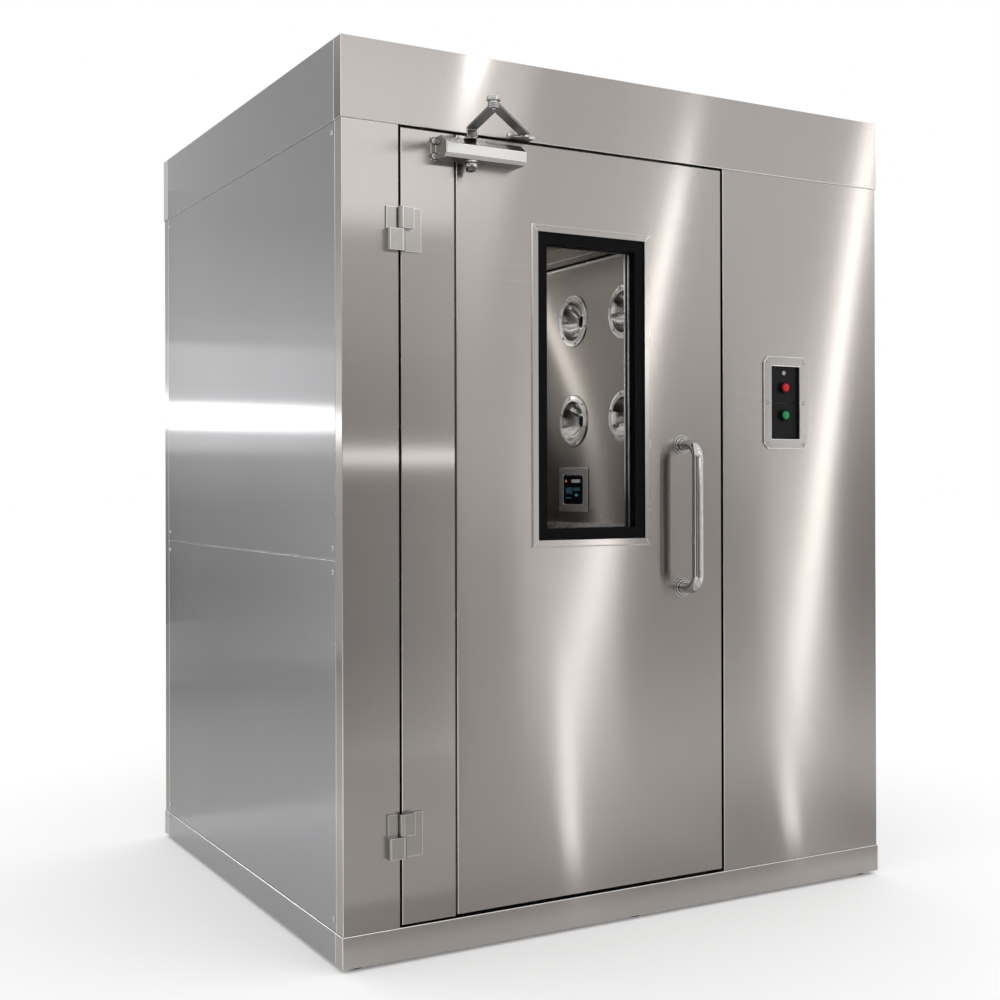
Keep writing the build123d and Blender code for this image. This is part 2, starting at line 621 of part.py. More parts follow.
def inner_wall_upper():
    wall = inner_wall_blank(RAIL_TOP, CHAMBER_TOP)
    hole_radius = NOZZLE_MOUTH_RADIUS + NOZZLE_WALL + NOZZLE_FIT
    for y, z in nozzle_places():
        hole = Pos(WALL_RIGHT_FACE + INNER_WALL_THICKNESS / 2, y, z) * Rot(0, 90, 0)
        wall -= hole * Cylinder(hole_radius, INNER_WALL_THICKNESS)
    return wall


def grille_cut():
    half_width = GRILLE_WIDTH / 2 - GRILLE_BORDER
    half_height = GRILLE_HEIGHT / 2 - GRILLE_BORDER
    return slab(WALL_RIGHT_FACE, WALL_RIGHT_FACE + INNER_WALL_THICKNESS, -half_width, half_width,
                GRILLE_CENTRE_HEIGHT - half_height, GRILLE_CENTRE_HEIGHT + half_height)


def wall_rail():
    """The trim rail where the upper and lower lining panels meet."""
    return eased(slab(WALL_RIGHT_FACE - RAIL_PROUD, WALL_RIGHT_FACE + INNER_WALL_THICKNESS,
                      STOP_BACK, -STOP_BACK, RAIL_BOTTOM, RAIL_TOP))


def to_left_wall(shape):
    """The same piece on the lining of the hinge side."""
    middle = (WALL_LEFT_FACE + WALL_RIGHT_FACE) / 2
    return mirror(shape, about=Plane.YZ.offset(middle))


def ceiling():
    left = WALL_LEFT_FACE - INNER_WALL_THICKNESS
    right = WALL_RIGHT_FACE + INNER_WALL_THICKNESS
    plate = slab(left, right, STOP_BACK, -STOP_BACK, CHAMBER_TOP,
                 CHAMBER_TOP + CEILING_THICKNESS)
    recess = slab(WALL_LEFT_FACE + SOFFIT_WIDTH, WALL_RIGHT_FACE - SOFFIT_WIDTH,
                  STOP_BACK + SOFFIT_WIDTH, -STOP_BACK - SOFFIT_WIDTH,
                  CHAMBER_TOP, CHAMBER_TOP + CEILING_RECESS)
    return plate - recess


def nozzle():
    """A dished jet nozzle about the local Z axis, which points into the chamber."""
    outline = Polyline(
        (NOZZLE_FLANGE_RADIUS, 0, 0),
        (NOZZLE_FLANGE_RADIUS, 0, NOZZLE_FLANGE_THICKNESS),
        (NOZZLE_MOUTH_RADIUS, 0, NOZZLE_FLANGE_THICKNESS),
        (NOZZLE_THROAT_RADIUS, 0, -NOZZLE_DEPTH),
        (NOZZLE_THROAT_RADIUS, 0, -NOZZLE_DEPTH - NOZZLE_NECK),
        (NOZZLE_THROAT_RADIUS + NOZZLE_WALL, 0, -NOZZLE_DEPTH - NOZZLE_NECK),
        (NOZZLE_MOUTH_RADIUS + NOZZLE_WALL, 0, 0),
        close=True,
    )
    return revolve(make_face(outline), Axis.Z)


def nozzles():
    return [Pos(WALL_RIGHT_FACE, y, z) * Rot(0, -90, 0) * nozzle() for y, z in nozzle_places()]


def return_grille():
    """A framed grille of sloping blades in the lower lining, on the blower side."""
    face = WALL_RIGHT_FACE
    outer = slab(face - GRILLE_THICKNESS, face, -GRILLE_WIDTH / 2, GRILLE_WIDTH / 2,
                 GRILLE_CENTRE_HEIGHT - GRILLE_HEIGHT / 2, GRILLE_CENTRE_HEIGHT + GRILLE_HEIGHT / 2)
    inner_width = GRILLE_WIDTH - 2 * GRILLE_BORDER
    inner_height = GRILLE_HEIGHT - 2 * GRILLE_BORDER
    inner = Pos(face, 0, GRILLE_CENTRE_HEIGHT) * Box(2 * GRILLE_THICKNESS, inner_width, inner_height)
    frame = outer - inner
    pitch = inner_height / GRILLE_BLADES
    slope = radians(GRILLE_BLADE_ANGLE)
    blade_depth = pitch * sin(slope) + GRILLE_BLADE_THICKNESS * cos(slope)
    blade_x = face - GRILLE_THICKNESS + blade_depth / 2
    bottom = GRILLE_CENTRE_HEIGHT - inner_height / 2
    for number in range(GRILLE_BLADES):
        place = Pos(blade_x, 0, bottom + (number + 0.5) * pitch)
        blade = Rot(0, GRILLE_BLADE_ANGLE, 0) * Box(GRILLE_BLADE_THICKNESS, inner_width, pitch)
        frame += place * blade
    return frame


def controller_frame():
    z = CONTROLLER_Z
    face = WALL_RIGHT_FACE
    plate = slab(face - CONTROLLER_THICKNESS, face, -CONTROLLER_WIDTH / 2, CONTROLLER_WIDTH / 2,
                 z - CONTROLLER_HEIGHT / 2, z + CONTROLLER_HEIGHT / 2)
    plate = chamfer(plate.edges().filter_by(Axis.X), CONTROLLER_THICKNESS)
    return plate - Pos(face, 0, z) * Box(2 * CONTROLLER_THICKNESS, SCREEN_WIDTH, SCREEN_HEIGHT)


def controller_screen():
    z = CONTROLLER_Z
    return slab(WALL_RIGHT_FACE - CONTROLLER_THICKNESS + SCREEN_SET_BACK, WALL_RIGHT_FACE,
                -SCREEN_WIDTH / 2, SCREEN_WIDTH / 2, z - SCREEN_HEIGHT / 2, z + SCREEN_HEIGHT / 2)


# Front control panel

def control_frame():
    ring = front_ring(CONTROL_WIDTH, CONTROL_HEIGHT, CONTROL_BORDER, PANEL_FRONT - CONTROL_PROUD,
                      PANEL_FRONT, CONTROL_X, CONTROL_CENTRE_HEIGHT)
    corners = ring.edges().filter_by(Axis.Y)
    outer = corners.filter_by(lambda edge: abs(edge.center().X - CONTROL_X) > CONTROL_WIDTH / 2 - 1)
    return chamfer(outer, CONTROL_CORNER)


def control_plates():
    """Two black plates in the recess, each with the collar of its lamp."""
    front = PANEL_FRONT + CONTROL_RECESS - CONTROL_PROUD
    half_width = CONTROL_WIDTH / 2 - CONTROL_BORDER
    half_height = CONTROL_HEIGHT / 2 - CONTROL_BORDER
    z = CONTROL_CENTRE_HEIGHT
    plates = []
    for lamp_z, low, high in ((z + LAMP_UP, z + CONTROL_SPLIT / 2, z + half_height),
                              (z - LAMP_DOWN, z - half_height, z - CONTROL_SPLIT / 2)):
        plate = slab(CONTROL_X - half_width, CONTROL_X + half_width, front,
                     front + CONTROL_PLATE_THICKNESS, low, high)
        plates.append(plate + upright_disc(BEZEL_RADIUS, front - BEZEL_HEIGHT, front, CONTROL_X, lamp_z))
    return plates


def lamp_lens(z):
    back = PANEL_FRONT + CONTROL_RECESS - CONTROL_PROUD - BEZEL_HEIGHT
    lens = upright_disc(LENS_RADIUS, back - LENS_HEIGHT, back, CONTROL_X, z)
    return chamfer(lens.edges().sort_by(Axis.Y)[0], LENS_HEIGHT / 2)


def make_parts():
    """Every piece of the air shower, by name."""
    left_jamb = jamb(POST_EDGE, STOP_LEFT, -1)
    right_jamb = jamb(LATCH_EDGE, STOP_RIGHT, 1)
    lower_wall = inner_wall_blank(PLINTH_TOP, RAIL_BOTTOM)
    fixed_hinges = [frame_hinge(z) for z in HINGE_HEIGHTS]
    moving_hinges = [door_hinge(z) for z in HINGE_HEIGHTS]
    closer = [closer_body(), closer_bracket(), closer_main_arm(), closer_forearm(), closer_shoe()]
    return {
        "plinth_front": plinth_end_rail(),
        "plinth_back": to_back(plinth_end_rail()),
        "plinth_sides": [plinth_side_rail(), to_right(plinth_side_rail())],
        "feet": levelling_feet(),
        "floor_plate": floor_plate(),
        "header_front": header_end(),
        "header_back": to_back(header_end()),
        "header_sides": [header_side(), to_right(header_side())],
        "roof_panel": roof_panel(),
        "hinge_posts": [hinge_post(), to_back(hinge_post())],
        "front_panel": front_panel(),
        "back_panel": to_back(service_panel()),
        "left_side_panels": side_panels(),
        "right_side_panels": [to_right(panel) for panel in side_panels()],
        "hinge_jambs": [left_jamb, to_back(left_jamb)],
        "latch_jambs": [right_jamb, to_back(right_jamb)],
        "door_heads": [door_head(), to_back(door_head())],
        "inner_wall_right": [lower_wall - grille_cut(), inner_wall_upper()],
        "inner_wall_left": [to_left_wall(lower_wall), to_left_wall(inner_wall_upper())],
        "wall_rails": [wall_rail(), to_left_wall(wall_rail())],
        "ceiling": ceiling(),
        "nozzles_right": nozzles(),
        "nozzles_left": [to_left_wall(piece) for piece in nozzles()],
        "return_grille": return_grille(),
        "controller_frame": controller_frame(),
        "controller_screen": controller_screen(),
        "control_frame": control_frame(),
        "control_plates": control_plates(),
        "red_lamp": lamp_lens(CONTROL_CENTRE_HEIGHT + LAMP_UP),
        "green_lamp": lamp_lens(CONTROL_CENTRE_HEIGHT - LAMP_DOWN),
        "frame_hinges": fixed_hinges,
        "door_hinges": moving_hinges,
        "door_leaf": door_leaf(),
        "hinge_stile": hinge_stile(),
        "window_trim": window_trim(),
        "window_gasket": window_gasket(),
        "window_glass": window_glass(),
        "door_seal": door_seal(),
        "door_handle": pull_handle(),
        "closer_body": closer[0],
        "closer_bracket": closer[1],
        "closer_main_arm": closer[2],
        "closer_forearm": closer[3],
        "closer_shoe": closer[4],
        "exit_door_leaf": to_back(door_leaf() + window_trim()),
        "exit_hinge_stile": to_back(hinge_stile()),
        "exit_window_gasket": to_back(window_gasket()),
        "exit_window_glass": to_back(window_glass()),
        "exit_handle": to_back(pull_handle()),
        "exit_hinges": [to_back(piece) for piece in fixed_hinges + moving_hinges],
        "exit_closer": [to_back(piece) for piece in closer],
    }


os.makedirs("parts", exist_ok=True)
for name, piece in make_parts().items():
    shape = Compound(children=piece) if isinstance(piece, list) else piece
    export_step(shape, f"parts/{name}.step")
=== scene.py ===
# %% [markdown]
# # A stainless air shower for a clean room
# People step into this cabinet before they enter a clean room. Nozzles in its side walls blow the
# dust off their clothes. The solid parts come from a CAD model, which stays exactly where it is.
# This notebook dresses it: steel finishes, screws, turned nozzles, lamps, light and a camera.
#
# The first cell brings the CAD model in.

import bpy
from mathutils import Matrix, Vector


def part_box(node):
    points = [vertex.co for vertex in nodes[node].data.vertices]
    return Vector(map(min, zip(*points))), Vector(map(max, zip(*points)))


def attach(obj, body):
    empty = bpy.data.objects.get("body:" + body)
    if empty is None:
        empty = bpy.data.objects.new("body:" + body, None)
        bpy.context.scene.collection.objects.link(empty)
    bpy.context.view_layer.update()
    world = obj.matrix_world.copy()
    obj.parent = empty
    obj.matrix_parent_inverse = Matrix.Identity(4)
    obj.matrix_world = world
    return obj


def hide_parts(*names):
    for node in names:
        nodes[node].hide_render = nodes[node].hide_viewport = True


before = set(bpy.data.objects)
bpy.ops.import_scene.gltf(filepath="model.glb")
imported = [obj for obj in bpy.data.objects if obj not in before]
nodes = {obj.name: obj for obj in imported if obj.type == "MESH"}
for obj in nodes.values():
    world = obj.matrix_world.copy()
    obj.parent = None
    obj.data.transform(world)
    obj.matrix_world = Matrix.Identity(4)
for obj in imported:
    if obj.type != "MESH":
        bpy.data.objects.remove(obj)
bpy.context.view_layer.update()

# %% [markdown]
# ## Where things are
# It is safer to ask the CAD model for a face or an edge than to type its place again. The front
# sheet, the lining of the chamber and the door leaf are the planes that most pieces sit on.

# %% Planes that the pieces sit on
from math import cos, pi, radians, sin

import bpy
from mathutils import Matrix, Vector

leaf_low, leaf_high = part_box("door_leaf")
FRONT_FACE = leaf_low.y
WALL_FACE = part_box("inner_wall_right")[0].x
WALL_LEFT_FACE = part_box("inner_wall_left")[1].x
SIDE_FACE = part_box("left_side_panels")[0].x
print("front sheet at y", round(FRONT_FACE, 4), "lining at x", round(WALL_FACE, 4))

# %% [markdown]
# ## Brushed steel
# Stainless sheet is sold brushed: a belt draws thousands of fine scratches in one direction. A
# scratch mirrors light sharply along its length and spreads it wide across. That is why a lamp
# shows on such a sheet as one long streak. The Principled shader does this with Anisotropic, and
# its Tangent input says which way the streak is drawn out. The scratches themselves come from a
# noise that is squeezed in one direction. All patterns read Object coordinates, so they stay on
# the metal when the camera moves.

# %% Nodes and noise patterns
def plug(tree, node, inputs):
    """Fills inputs of a node: the output of another node is linked, and a plain value is set."""
    for key, value in inputs.items():
        if isinstance(value, bpy.types.NodeSocket):
            tree.links.new(value, node.inputs[key])
        else:
            node.inputs[key].default_value = value


def add_node(tree, kind, inputs, result=0, operation=None):
    """A new shader node with its inputs filled; it gives back one of its outputs."""
    node = tree.nodes.new("ShaderNode" + kind)
    if operation:
        node.operation = operation
    plug(tree, node, inputs)
    return node.outputs[result]


def link_noise(tree, scale, detail, stretch=(1.0, 1.0, 1.0)):
    """A noise pattern on the piece's own coordinates, squeezed by stretch."""
    place = add_node(tree, "TexCoord", {}, "Object")
    squeezed = add_node(tree, "Mapping", {"Vector": place, "Scale": stretch}, "Vector")
    return add_node(tree, "TexNoise", {"Vector": squeezed, "Scale": scale, "Detail": detail}, "Fac")


def blend_values(tree, first, second, share):
    """A mix of two patterns."""
    return add_node(tree, "Mix", {0: share, 2: first, 3: second})


print("patterns: a stretched noise and a blend of two")

# %% [markdown]
# ## From a pattern to a look
# A noise gives every point of the metal a number, mostly between 0.3 and 0.7. A colour ramp turns
# that range into a tone, a Map Range node turns it into a roughness, and a Bump node turns it into
# a shallow relief that is only shading.

# %% Tone, gloss and relief
PATTERN_LOW, PATTERN_HIGH = 0.3, 0.7


def colour_between(tree, pattern, dark, light):
    """A colour that runs from dark to light with a pattern."""
    ramp = tree.nodes.new("ShaderNodeValToRGB")
    ramp.color_ramp.elements[0].position = PATTERN_LOW
    ramp.color_ramp.elements[0].color = (*dark, 1.0)
    ramp.color_ramp.elements[1].position = PATTERN_HIGH
    ramp.color_ramp.elements[1].color = (*light, 1.0)
    tree.links.new(pattern, ramp.inputs["Fac"])
    return ramp.outputs["Color"]


def value_between(tree, pattern, low, high):
    """A number that runs from low to high with a pattern."""
    return add_node(tree, "MapRange", {"Value": pattern, "From Min": PATTERN_LOW, "From Max": PATTERN_HIGH,
                                       "To Min": low, "To Max": high}, "Result")


def relief(tree, pattern, strength, depth):
    """A shallow bump, as a normal for the shader."""
    return add_node(tree, "Bump", {"Height": pattern, "Strength": strength, "Distance": depth}, "Normal")


def new_material(name):
    """A new material with its node tree and its shader."""
    material = bpy.data.materials.new(name)
    material.use_nodes = True
    return material, material.node_tree, material.node_tree.nodes["Principled BSDF"]


print("pattern range", PATTERN_LOW, "to", PATTERN_HIGH)

# %% [markdown]
# ## One maker for all brushed steels
# Each brushed steel mixes three patterns: the long scratches, a fine sand and wide clouds that
# stand for the handling of a big sheet. The scratches also stir the roughness, so the edge of a
# highlight is never quite clean. A direction node feeds Tangent with the way the streak runs.

# %% A maker of brushed steels
SAND_SCALE, SAND_DEPTH = 380.0, 0.0001
TONE_SPREAD = 0.08


def steel(name, tone, scratches, streak, rough=(0.172, 0.192), sandy=0.03):
    """A metal whose scratches squeeze by `scratches` and whose highlights run along `streak`."""
    material, tree, shader = new_material(name)
    grain = link_noise(tree, 1.0, 3.0, scratches)
    sand = link_noise(tree, SAND_SCALE, 2.0, (1.0, 1.0, 1.6))
    clouds = link_noise(tree, 1.7, 2.0)
    pattern = blend_values(tree, blend_values(tree, grain, sand, 0.55), clouds, 0.3)
    dark = [(1 - TONE_SPREAD) * part for part in tone]
    light = [(1 + TONE_SPREAD) * part for part in tone]
    plug(tree, shader, {
        "Metallic": 1.0,
        "Anisotropic": 1.0,
        "Base Color": colour_between(tree, pattern, dark, light),
        "Roughness": value_between(tree, grain, *rough),
        "Tangent": add_node(tree, "CombineXYZ", dict(zip("XYZ", streak)), "Vector"),
    })
    if sandy:
        plug(tree, shader, {"Normal": relief(tree, sand, sandy, SAND_DEPTH)})
    return material


print("tones differ by", TONE_SPREAD, "either way")

# %% [markdown]
# ## The brushed steels of the cabinet
# A mill brushes a wide sheet across and a narrow strip along, so the front sheets carry level
# scratches with an upright streak, and the post and the stile have it the other way round. The
# frame of the controls and the lining of the chamber are duller, because their highlights in the
# photo are wide and soft. They have no sand, which would sparkle on such small faces.

# %% Six brushed steels
LEVEL_SCRATCHES = (4, 4, 760)
STREAK_UP = (0.02, 0.05, 1.0)
front_steel = steel("front_steel", (0.385, 0.360, 0.342), LEVEL_SCRATCHES, STREAK_UP)
upright_steel = steel("upright_steel", (0.385, 0.360, 0.342), (760, 4, 4), (1.0, 0.05, 0.02))
side_steel = steel("side_steel", (0.330, 0.332, 0.340), (4, 760, 4), (0.05, 1.0, 0.05))
flat_steel = steel("flat_steel", (0.360, 0.355, 0.352), (4, 760, 4), (1.0, 0.05, 0.05))
frame_steel = steel("frame_steel", (0.365, 0.350, 0.338), LEVEL_SCRATCHES, STREAK_UP, (0.30, 0.32), 0.0)
lining_steel = steel("lining_steel", (0.43, 0.392, 0.36), LEVEL_SCRATCHES, STREAK_UP, (0.25, 0.27), 0.0)
print("steels:", [m.name for m in bpy.data.materials if m.name.endswith("steel")])

# %% [markdown]
# ## Metals without brushing
# The nozzles and the pull tube are polished, and the closer, the hinges and the screws are satin.
# None of them is one flat colour: a faint noise in the tone and in the roughness is what makes a
# surface look handled. Lighter finishes on edges are painted highlights, and darker ones on
# undersides are painted shade.

# %% Polished, satin and dull metals
GRAIN_DEPTH = 0.0003


def plain_finish(name, dark, light, rough, metallic=0.0, scale=14.0, bump=0.0, shine=0.5):
    """A finish whose tone and gloss wander a little; shine is how much a bare surface mirrors."""
    material, tree, shader = new_material(name)
    tone = link_noise(tree, scale, 3.0)
    plug(tree, shader, {
        "Metallic": metallic,
        "Specular IOR Level": shine,
        "Base Color": colour_between(tree, tone, dark, light),
        "Roughness": value_between(tree, tone, *rough),
    })
    if bump:
        plug(tree, shader, {"Normal": relief(tree, tone, bump, GRAIN_DEPTH)})
    return material, shader


def metal(name, dark, light, rough, scale=14.0):
    """A bare metal that wanders between two tones."""
    return plain_finish(name, dark, light, rough, metallic=1.0, scale=scale)[0]


SATIN = (0.24, 0.28)
polished_steel = metal("polished_steel", (0.50, 0.49, 0.48), (0.56, 0.55, 0.54), (0.10, 0.13))
satin_metal = metal("satin_metal", (0.50, 0.495, 0.49), (0.54, 0.535, 0.53), SATIN)
hinge_steel = metal("hinge_steel", (0.355, 0.34, 0.325), (0.39, 0.375, 0.36), SATIN)
# Painted highlight: this light steel goes on folded edges, bevels, beads, rails and thin lines so that they
# shine.
painted_highlight_steel = metal("painted_highlight_steel", (0.78, 0.77, 0.76), (0.84, 0.83, 0.82), SATIN)
# Painted highlight: a lighter steel for the border line round the hinge faces.
painted_rim_highlight_steel = metal("painted_rim_highlight_steel", (0.54, 0.53, 0.52), (0.60, 0.59, 0.58), SATIN)
arm_steel = metal("arm_steel", (0.25, 0.245, 0.24), (0.29, 0.285, 0.28), (0.22, 0.26))
# Painted shade: a dark steel for the faces that look down.
painted_shade_steel = metal("painted_shade_steel", (0.13, 0.13, 0.13), (0.16, 0.16, 0.16), (0.32, 0.40))
# A dark steel for the nut, also used for the painted shadow rings under screws and the painted shade in
# grooves and joints.
dull_steel_and_painted_shade = metal("dull_steel_and_painted_shade", (0.10, 0.10, 0.10), (0.14, 0.14, 0.14), (0.3, 0.4))
screw_steel = metal("screw_steel", (0.52, 0.51, 0.50), (0.60, 0.59, 0.58), (0.16, 0.22), 60.0)
print(len(bpy.data.materials), "materials so far")

# %% [markdown]
# ## Rubber, plastic and coloured lenses
# Rubber and black plastic mirror very little, so their Specular IOR Level is low. The lenses are
# coloured plastic over an unlit lamp: a deep tone, a thin clear coat and a trace of painted glow,
# since no lamp lights them.

# %% Rubber, plastic and lenses
black_rubber = plain_finish("black_rubber", (0.002, 0.002, 0.003), (0.004, 0.004, 0.005), (0.45, 0.6),
                            scale=90.0, bump=0.05, shine=0.05)[0]
black_plastic = plain_finish("black_plastic", (0.004, 0.004, 0.004), (0.008, 0.008, 0.008), (0.3, 0.4),
                             scale=120.0, bump=0.04, shine=0.12)[0]
screen_glass = plain_finish("screen_glass", (0.002, 0.003, 0.005), (0.005, 0.006, 0.009), (0.2, 0.3),
                            scale=20.0, shine=0.05)[0]


def glowing(material, shader, colour, strength):
    """Lets a finish give off a little light of its own."""
    shader.inputs["Emission Color"].default_value = (*colour, 1.0)
    shader.inputs["Emission Strength"].default_value = strength
    return material


def lens_finish(name, dark, light, glow):
    """Coloured plastic under a thin coat, with a trace of painted glow."""
    material, shader = plain_finish(name, dark, light, (0.12, 0.2), scale=200.0, shine=0.2)
    shader.inputs["Coat Weight"].default_value = 0.15
    return glowing(material, shader, glow, 0.08)


red_lens = lens_finish("red_lens", (0.38, 0.003, 0.003), (0.52, 0.006, 0.006), (0.8, 0.01, 0.01))
green_lens = lens_finish("green_lens", (0.001, 0.16, 0.045), (0.002, 0.24, 0.07), (0.0, 0.35, 0.1))
print("lenses", red_lens.name, "and", green_lens.name)

# %% [markdown]
# ## Clear panes
# Both panes are thin, and in the photo neither mirrors the room. An IOR close to 1 lets light
# through without bending or mirroring it, so the chamber shows clearly behind the pane.

# %% Clear glass
clear_glass, clear_tree, clear_shader = new_material("clear_glass")
haze = link_noise(clear_tree, 6.0, 2.0)
plug(clear_tree, clear_shader, {
    "Transmission Weight": 1.0,
    "IOR": 1.01,
    "Specular IOR Level": 0.0,
    "Base Color": colour_between(clear_tree, haze, (0.965, 0.96, 0.95), (0.985, 0.98, 0.972)),
    "Roughness": value_between(clear_tree, haze, 0.0, 0.012),
})
print(len(bpy.data.materials), "materials")

# %% [markdown]
# ## Turned steel
# The dish of a nozzle is spun on a lathe, so its scratches run in rings. A highlight lies across
# the scratches, and on a spun dish that draws the bright wedges that meet in the middle. The
# Tangent therefore points away from the middle of each nozzle. The nozzles stand at equal
# distances, so the place of a point is wrapped to its own nozzle, and one material serves all.

# %% A finish for spun dishes
def wrapped(tree, value, start, pitch):
    """The distance from the nearest of many equally spaced places."""
    shift = add_node(tree, "Math", {0: value, 1: start}, operation="SUBTRACT")
    return add_node(tree, "Math", {0: shift, 1: pitch / 2, 2: -pitch / 2}, operation="WRAP")


dish_low, dish_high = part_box("nozzles_right")
FLANGE = 0.081
COLUMN_PITCH = (dish_high.y - dish_low.y - 2 * FLANGE) / 2
ROW_PITCH = dish_high.z - dish_low.z - 2 * FLANGE
spun_steel, spun_tree, spun_shader = new_material("spun_steel")
spun_place = add_node(spun_tree, "TexCoord", {}, "Object")
spun_y = add_node(spun_tree, "SeparateXYZ", {"Vector": spun_place}, "Y")
spun_z = add_node(spun_tree, "SeparateXYZ", {"Vector": spun_place}, "Z")
spun_way = add_node(spun_tree, "CombineXYZ", {
    "Y": wrapped(spun_tree, spun_y, 0.0, COLUMN_PITCH),
    "Z": wrapped(spun_tree, spun_z, dish_low.z + FLANGE, ROW_PITCH),
}, "Vector")
spun_tone = link_noise(spun_tree, 40.0, 3.0)
plug(spun_tree, spun_shader, {
    "Metallic": 1.0,
    "Anisotropic": 1.0,
    "Tangent": spun_way,
    "Base Color": colour_between(spun_tree, spun_tone, (0.72, 0.70, 0.68), (0.78, 0.76, 0.74)),
    "Roughness": value_between(spun_tree, spun_tone, 0.17, 0.19),
})
print("nozzle pitch", round(COLUMN_PITCH, 4), "by", round(ROW_PITCH, 4))

# %% [markdown]
# ## Dressing the CAD parts
# Most CAD parts are shown as they are and only take a finish. The table below gives each finish
# the parts that wear it. The front sheets are brushed level, so their highlights run upright. The
# narrow post and stile are brushed upright, as a mill cuts long strips, so theirs run level, and
# so do those of the side sheets. Parts that get a finer version further on take a finish too, so
# that no part is ever bare.

# %% A finish for each CAD part
FINISHES = {
    front_steel: ["plinth_front", "plinth_back", "header_front", "header_back", "front_panel", "back_panel",
                  "door_leaf", "window_trim", "exit_door_leaf", "hinge_jambs", "latch_jambs", "door_heads"],
    upright_steel: ["hinge_posts", "hinge_stile", "exit_hinge_stile"],
    side_steel: ["left_side_panels", "right_side_panels", "plinth_sides", "header_sides"],
    flat_steel: ["roof_panel", "floor_plate"],
    lining_steel: ["inner_wall_right", "inner_wall_left", "ceiling", "return_grille"],
    spun_steel: ["nozzles_right", "nozzles_left"],
    polished_steel: ["door_handle", "exit_handle"],
    satin_metal: ["closer_body", "closer_bracket", "closer_main_arm", "closer_forearm", "closer_shoe",
                  "exit_closer"],
    # Painted highlight: the wall rails are wholly in the light steel.
    painted_highlight_steel: ["wall_rails"],
    hinge_steel: ["frame_hinges", "door_hinges", "exit_hinges", "control_frame", "controller_frame"],
    black_rubber: ["window_gasket", "exit_window_gasket", "door_seal", "feet"],
    black_plastic: ["control_plates"],
    screen_glass: ["controller_screen"],
    clear_glass: ["window_glass", "exit_window_glass"],
    red_lens: ["red_lamp"],
    green_lens: ["green_lamp"],
}
for finish, names in FINISHES.items():
    for name in names:
        nodes[name].data.materials.clear()
        nodes[name].data.materials.append(finish)
print(sum(len(names) for names in FINISHES.values()), "of", len(nodes), "CAD parts have a finish")

# %% [markdown]
# ## Painted highlights on folded edges
# Where a sheet is folded, its edge shows as a bright line, painted here in light steel as a
# highlight. The CAD model has these folds as narrow sloping faces. Each of them is found by its
# normal, which points along no axis, and takes the second material of its part. Only the finish changes and
# no point moves.

# %% Bright edges on the sheets
FOLDED = ["plinth_front", "plinth_back", "header_front", "header_back", "front_panel", "back_panel",
          "hinge_posts", "door_leaf", "hinge_stile", "window_trim", "exit_door_leaf", "exit_hinge_stile",
          "left_side_panels", "right_side_panels", "plinth_sides", "header_sides"]
SQUARE_ON = 0.94
bright_faces = 0
for name in FOLDED:
    mesh = nodes[name].data
    mesh.materials.append(painted_highlight_steel)
    for face in mesh.polygons:
        if max(abs(part) for part in face.normal) < SQUARE_ON:
            face.material_index = 1
            bright_faces += 1
print(bright_faces, "bright edge faces")

# %% [markdown]
# ## Working by hand, in code
# The next helpers are what the hands do in Blender. The first ones pick pieces, open a piece for
# editing and clean it up: doubled points are merged, faces are turned outwards, and everything
# flatter than 35 degrees is shaded smooth.

# %% Helpers for picking and cleaning up
def only(*pieces):
    """Selects these pieces and nothing else."""
    bpy.ops.object.select_all(action="DESELECT")
    for piece in pieces:
        piece.select_set(True)
    bpy.context.view_layer.objects.active = pieces[0]


def edit_all():
    """Opens the active piece with all of it selected."""
    bpy.ops.object.mode_set(mode="EDIT")
    bpy.ops.mesh.select_all(action="SELECT")


SMOOTH_BELOW = radians(35)


def clean_up():
    """Merges doubles, turns the faces outwards and shades the active piece."""
    edit_all()
    bpy.ops.mesh.remove_doubles(threshold=1e-6)
    bpy.ops.mesh.normals_make_consistent(inside=False)
    bpy.ops.object.mode_set(mode="OBJECT")
    bpy.ops.object.shade_smooth_by_angle(angle=SMOOTH_BELOW)


print("smooth below", round(SMOOTH_BELOW, 3), "radians")

# %% [markdown]
# ## Turning and joining
# A round piece starts as a disc. Its face is drawn out and resized ring by ring, as a potter pulls
# a wall, until the profile is complete. Screws, nozzles, lamps and caps are all made in this way.
# A straight piece starts as a cube between two corners and has its edges rounded.

# %% Helpers for turned pieces and bars
def turned(name, profile, sides):
    """A round piece about the upright axis through the origin, from (radius, height) rings."""
    radius, height = profile[0]
    bpy.ops.object.select_all(action="DESELECT")
    bpy.ops.mesh.primitive_circle_add(vertices=sides, radius=radius, fill_type="NGON",
                                      location=(0, 0, height))
    piece = bpy.context.active_object
    piece.name = name
    bpy.ops.object.transform_apply(location=True, rotation=True, scale=True)
    edit_all()
    for next_radius, next_height in profile[1:]:
        rise = next_height - height
        bpy.ops.mesh.extrude_region_move(TRANSFORM_OT_translate={"value": (0, 0, rise)})
        growth = next_radius / radius
        bpy.ops.transform.resize(value=(growth, growth, 1), center_override=(0, 0, next_height))
        radius, height = next_radius, next_height
    bpy.ops.object.mode_set(mode="OBJECT")
    clean_up()
    return piece


def bar(name, low, high, edge):
    """A block between two corners with all its edges rounded."""
    middle = [(a + b) / 2 for a, b in zip(low, high)]
    size = [b - a for a, b in zip(low, high)]
    bpy.ops.object.select_all(action="DESELECT")
    bpy.ops.mesh.primitive_cube_add(size=1, location=middle, scale=size)
    piece = bpy.context.active_object
    piece.name = name
    bpy.ops.object.transform_apply(location=True, rotation=True, scale=True)
    edit_all()
    bpy.ops.mesh.bevel(offset=edge, segments=2, affect="EDGES")
    bpy.ops.object.mode_set(mode="OBJECT")
    clean_up()
    return piece


def joined(name, pieces):
    """Several pieces made into one."""
    only(*pieces)
    if len(pieces) > 1:
        bpy.ops.object.join()
    piece = bpy.context.active_object
    piece.name = name
    return piece


print("helpers: turned, bar, joined")

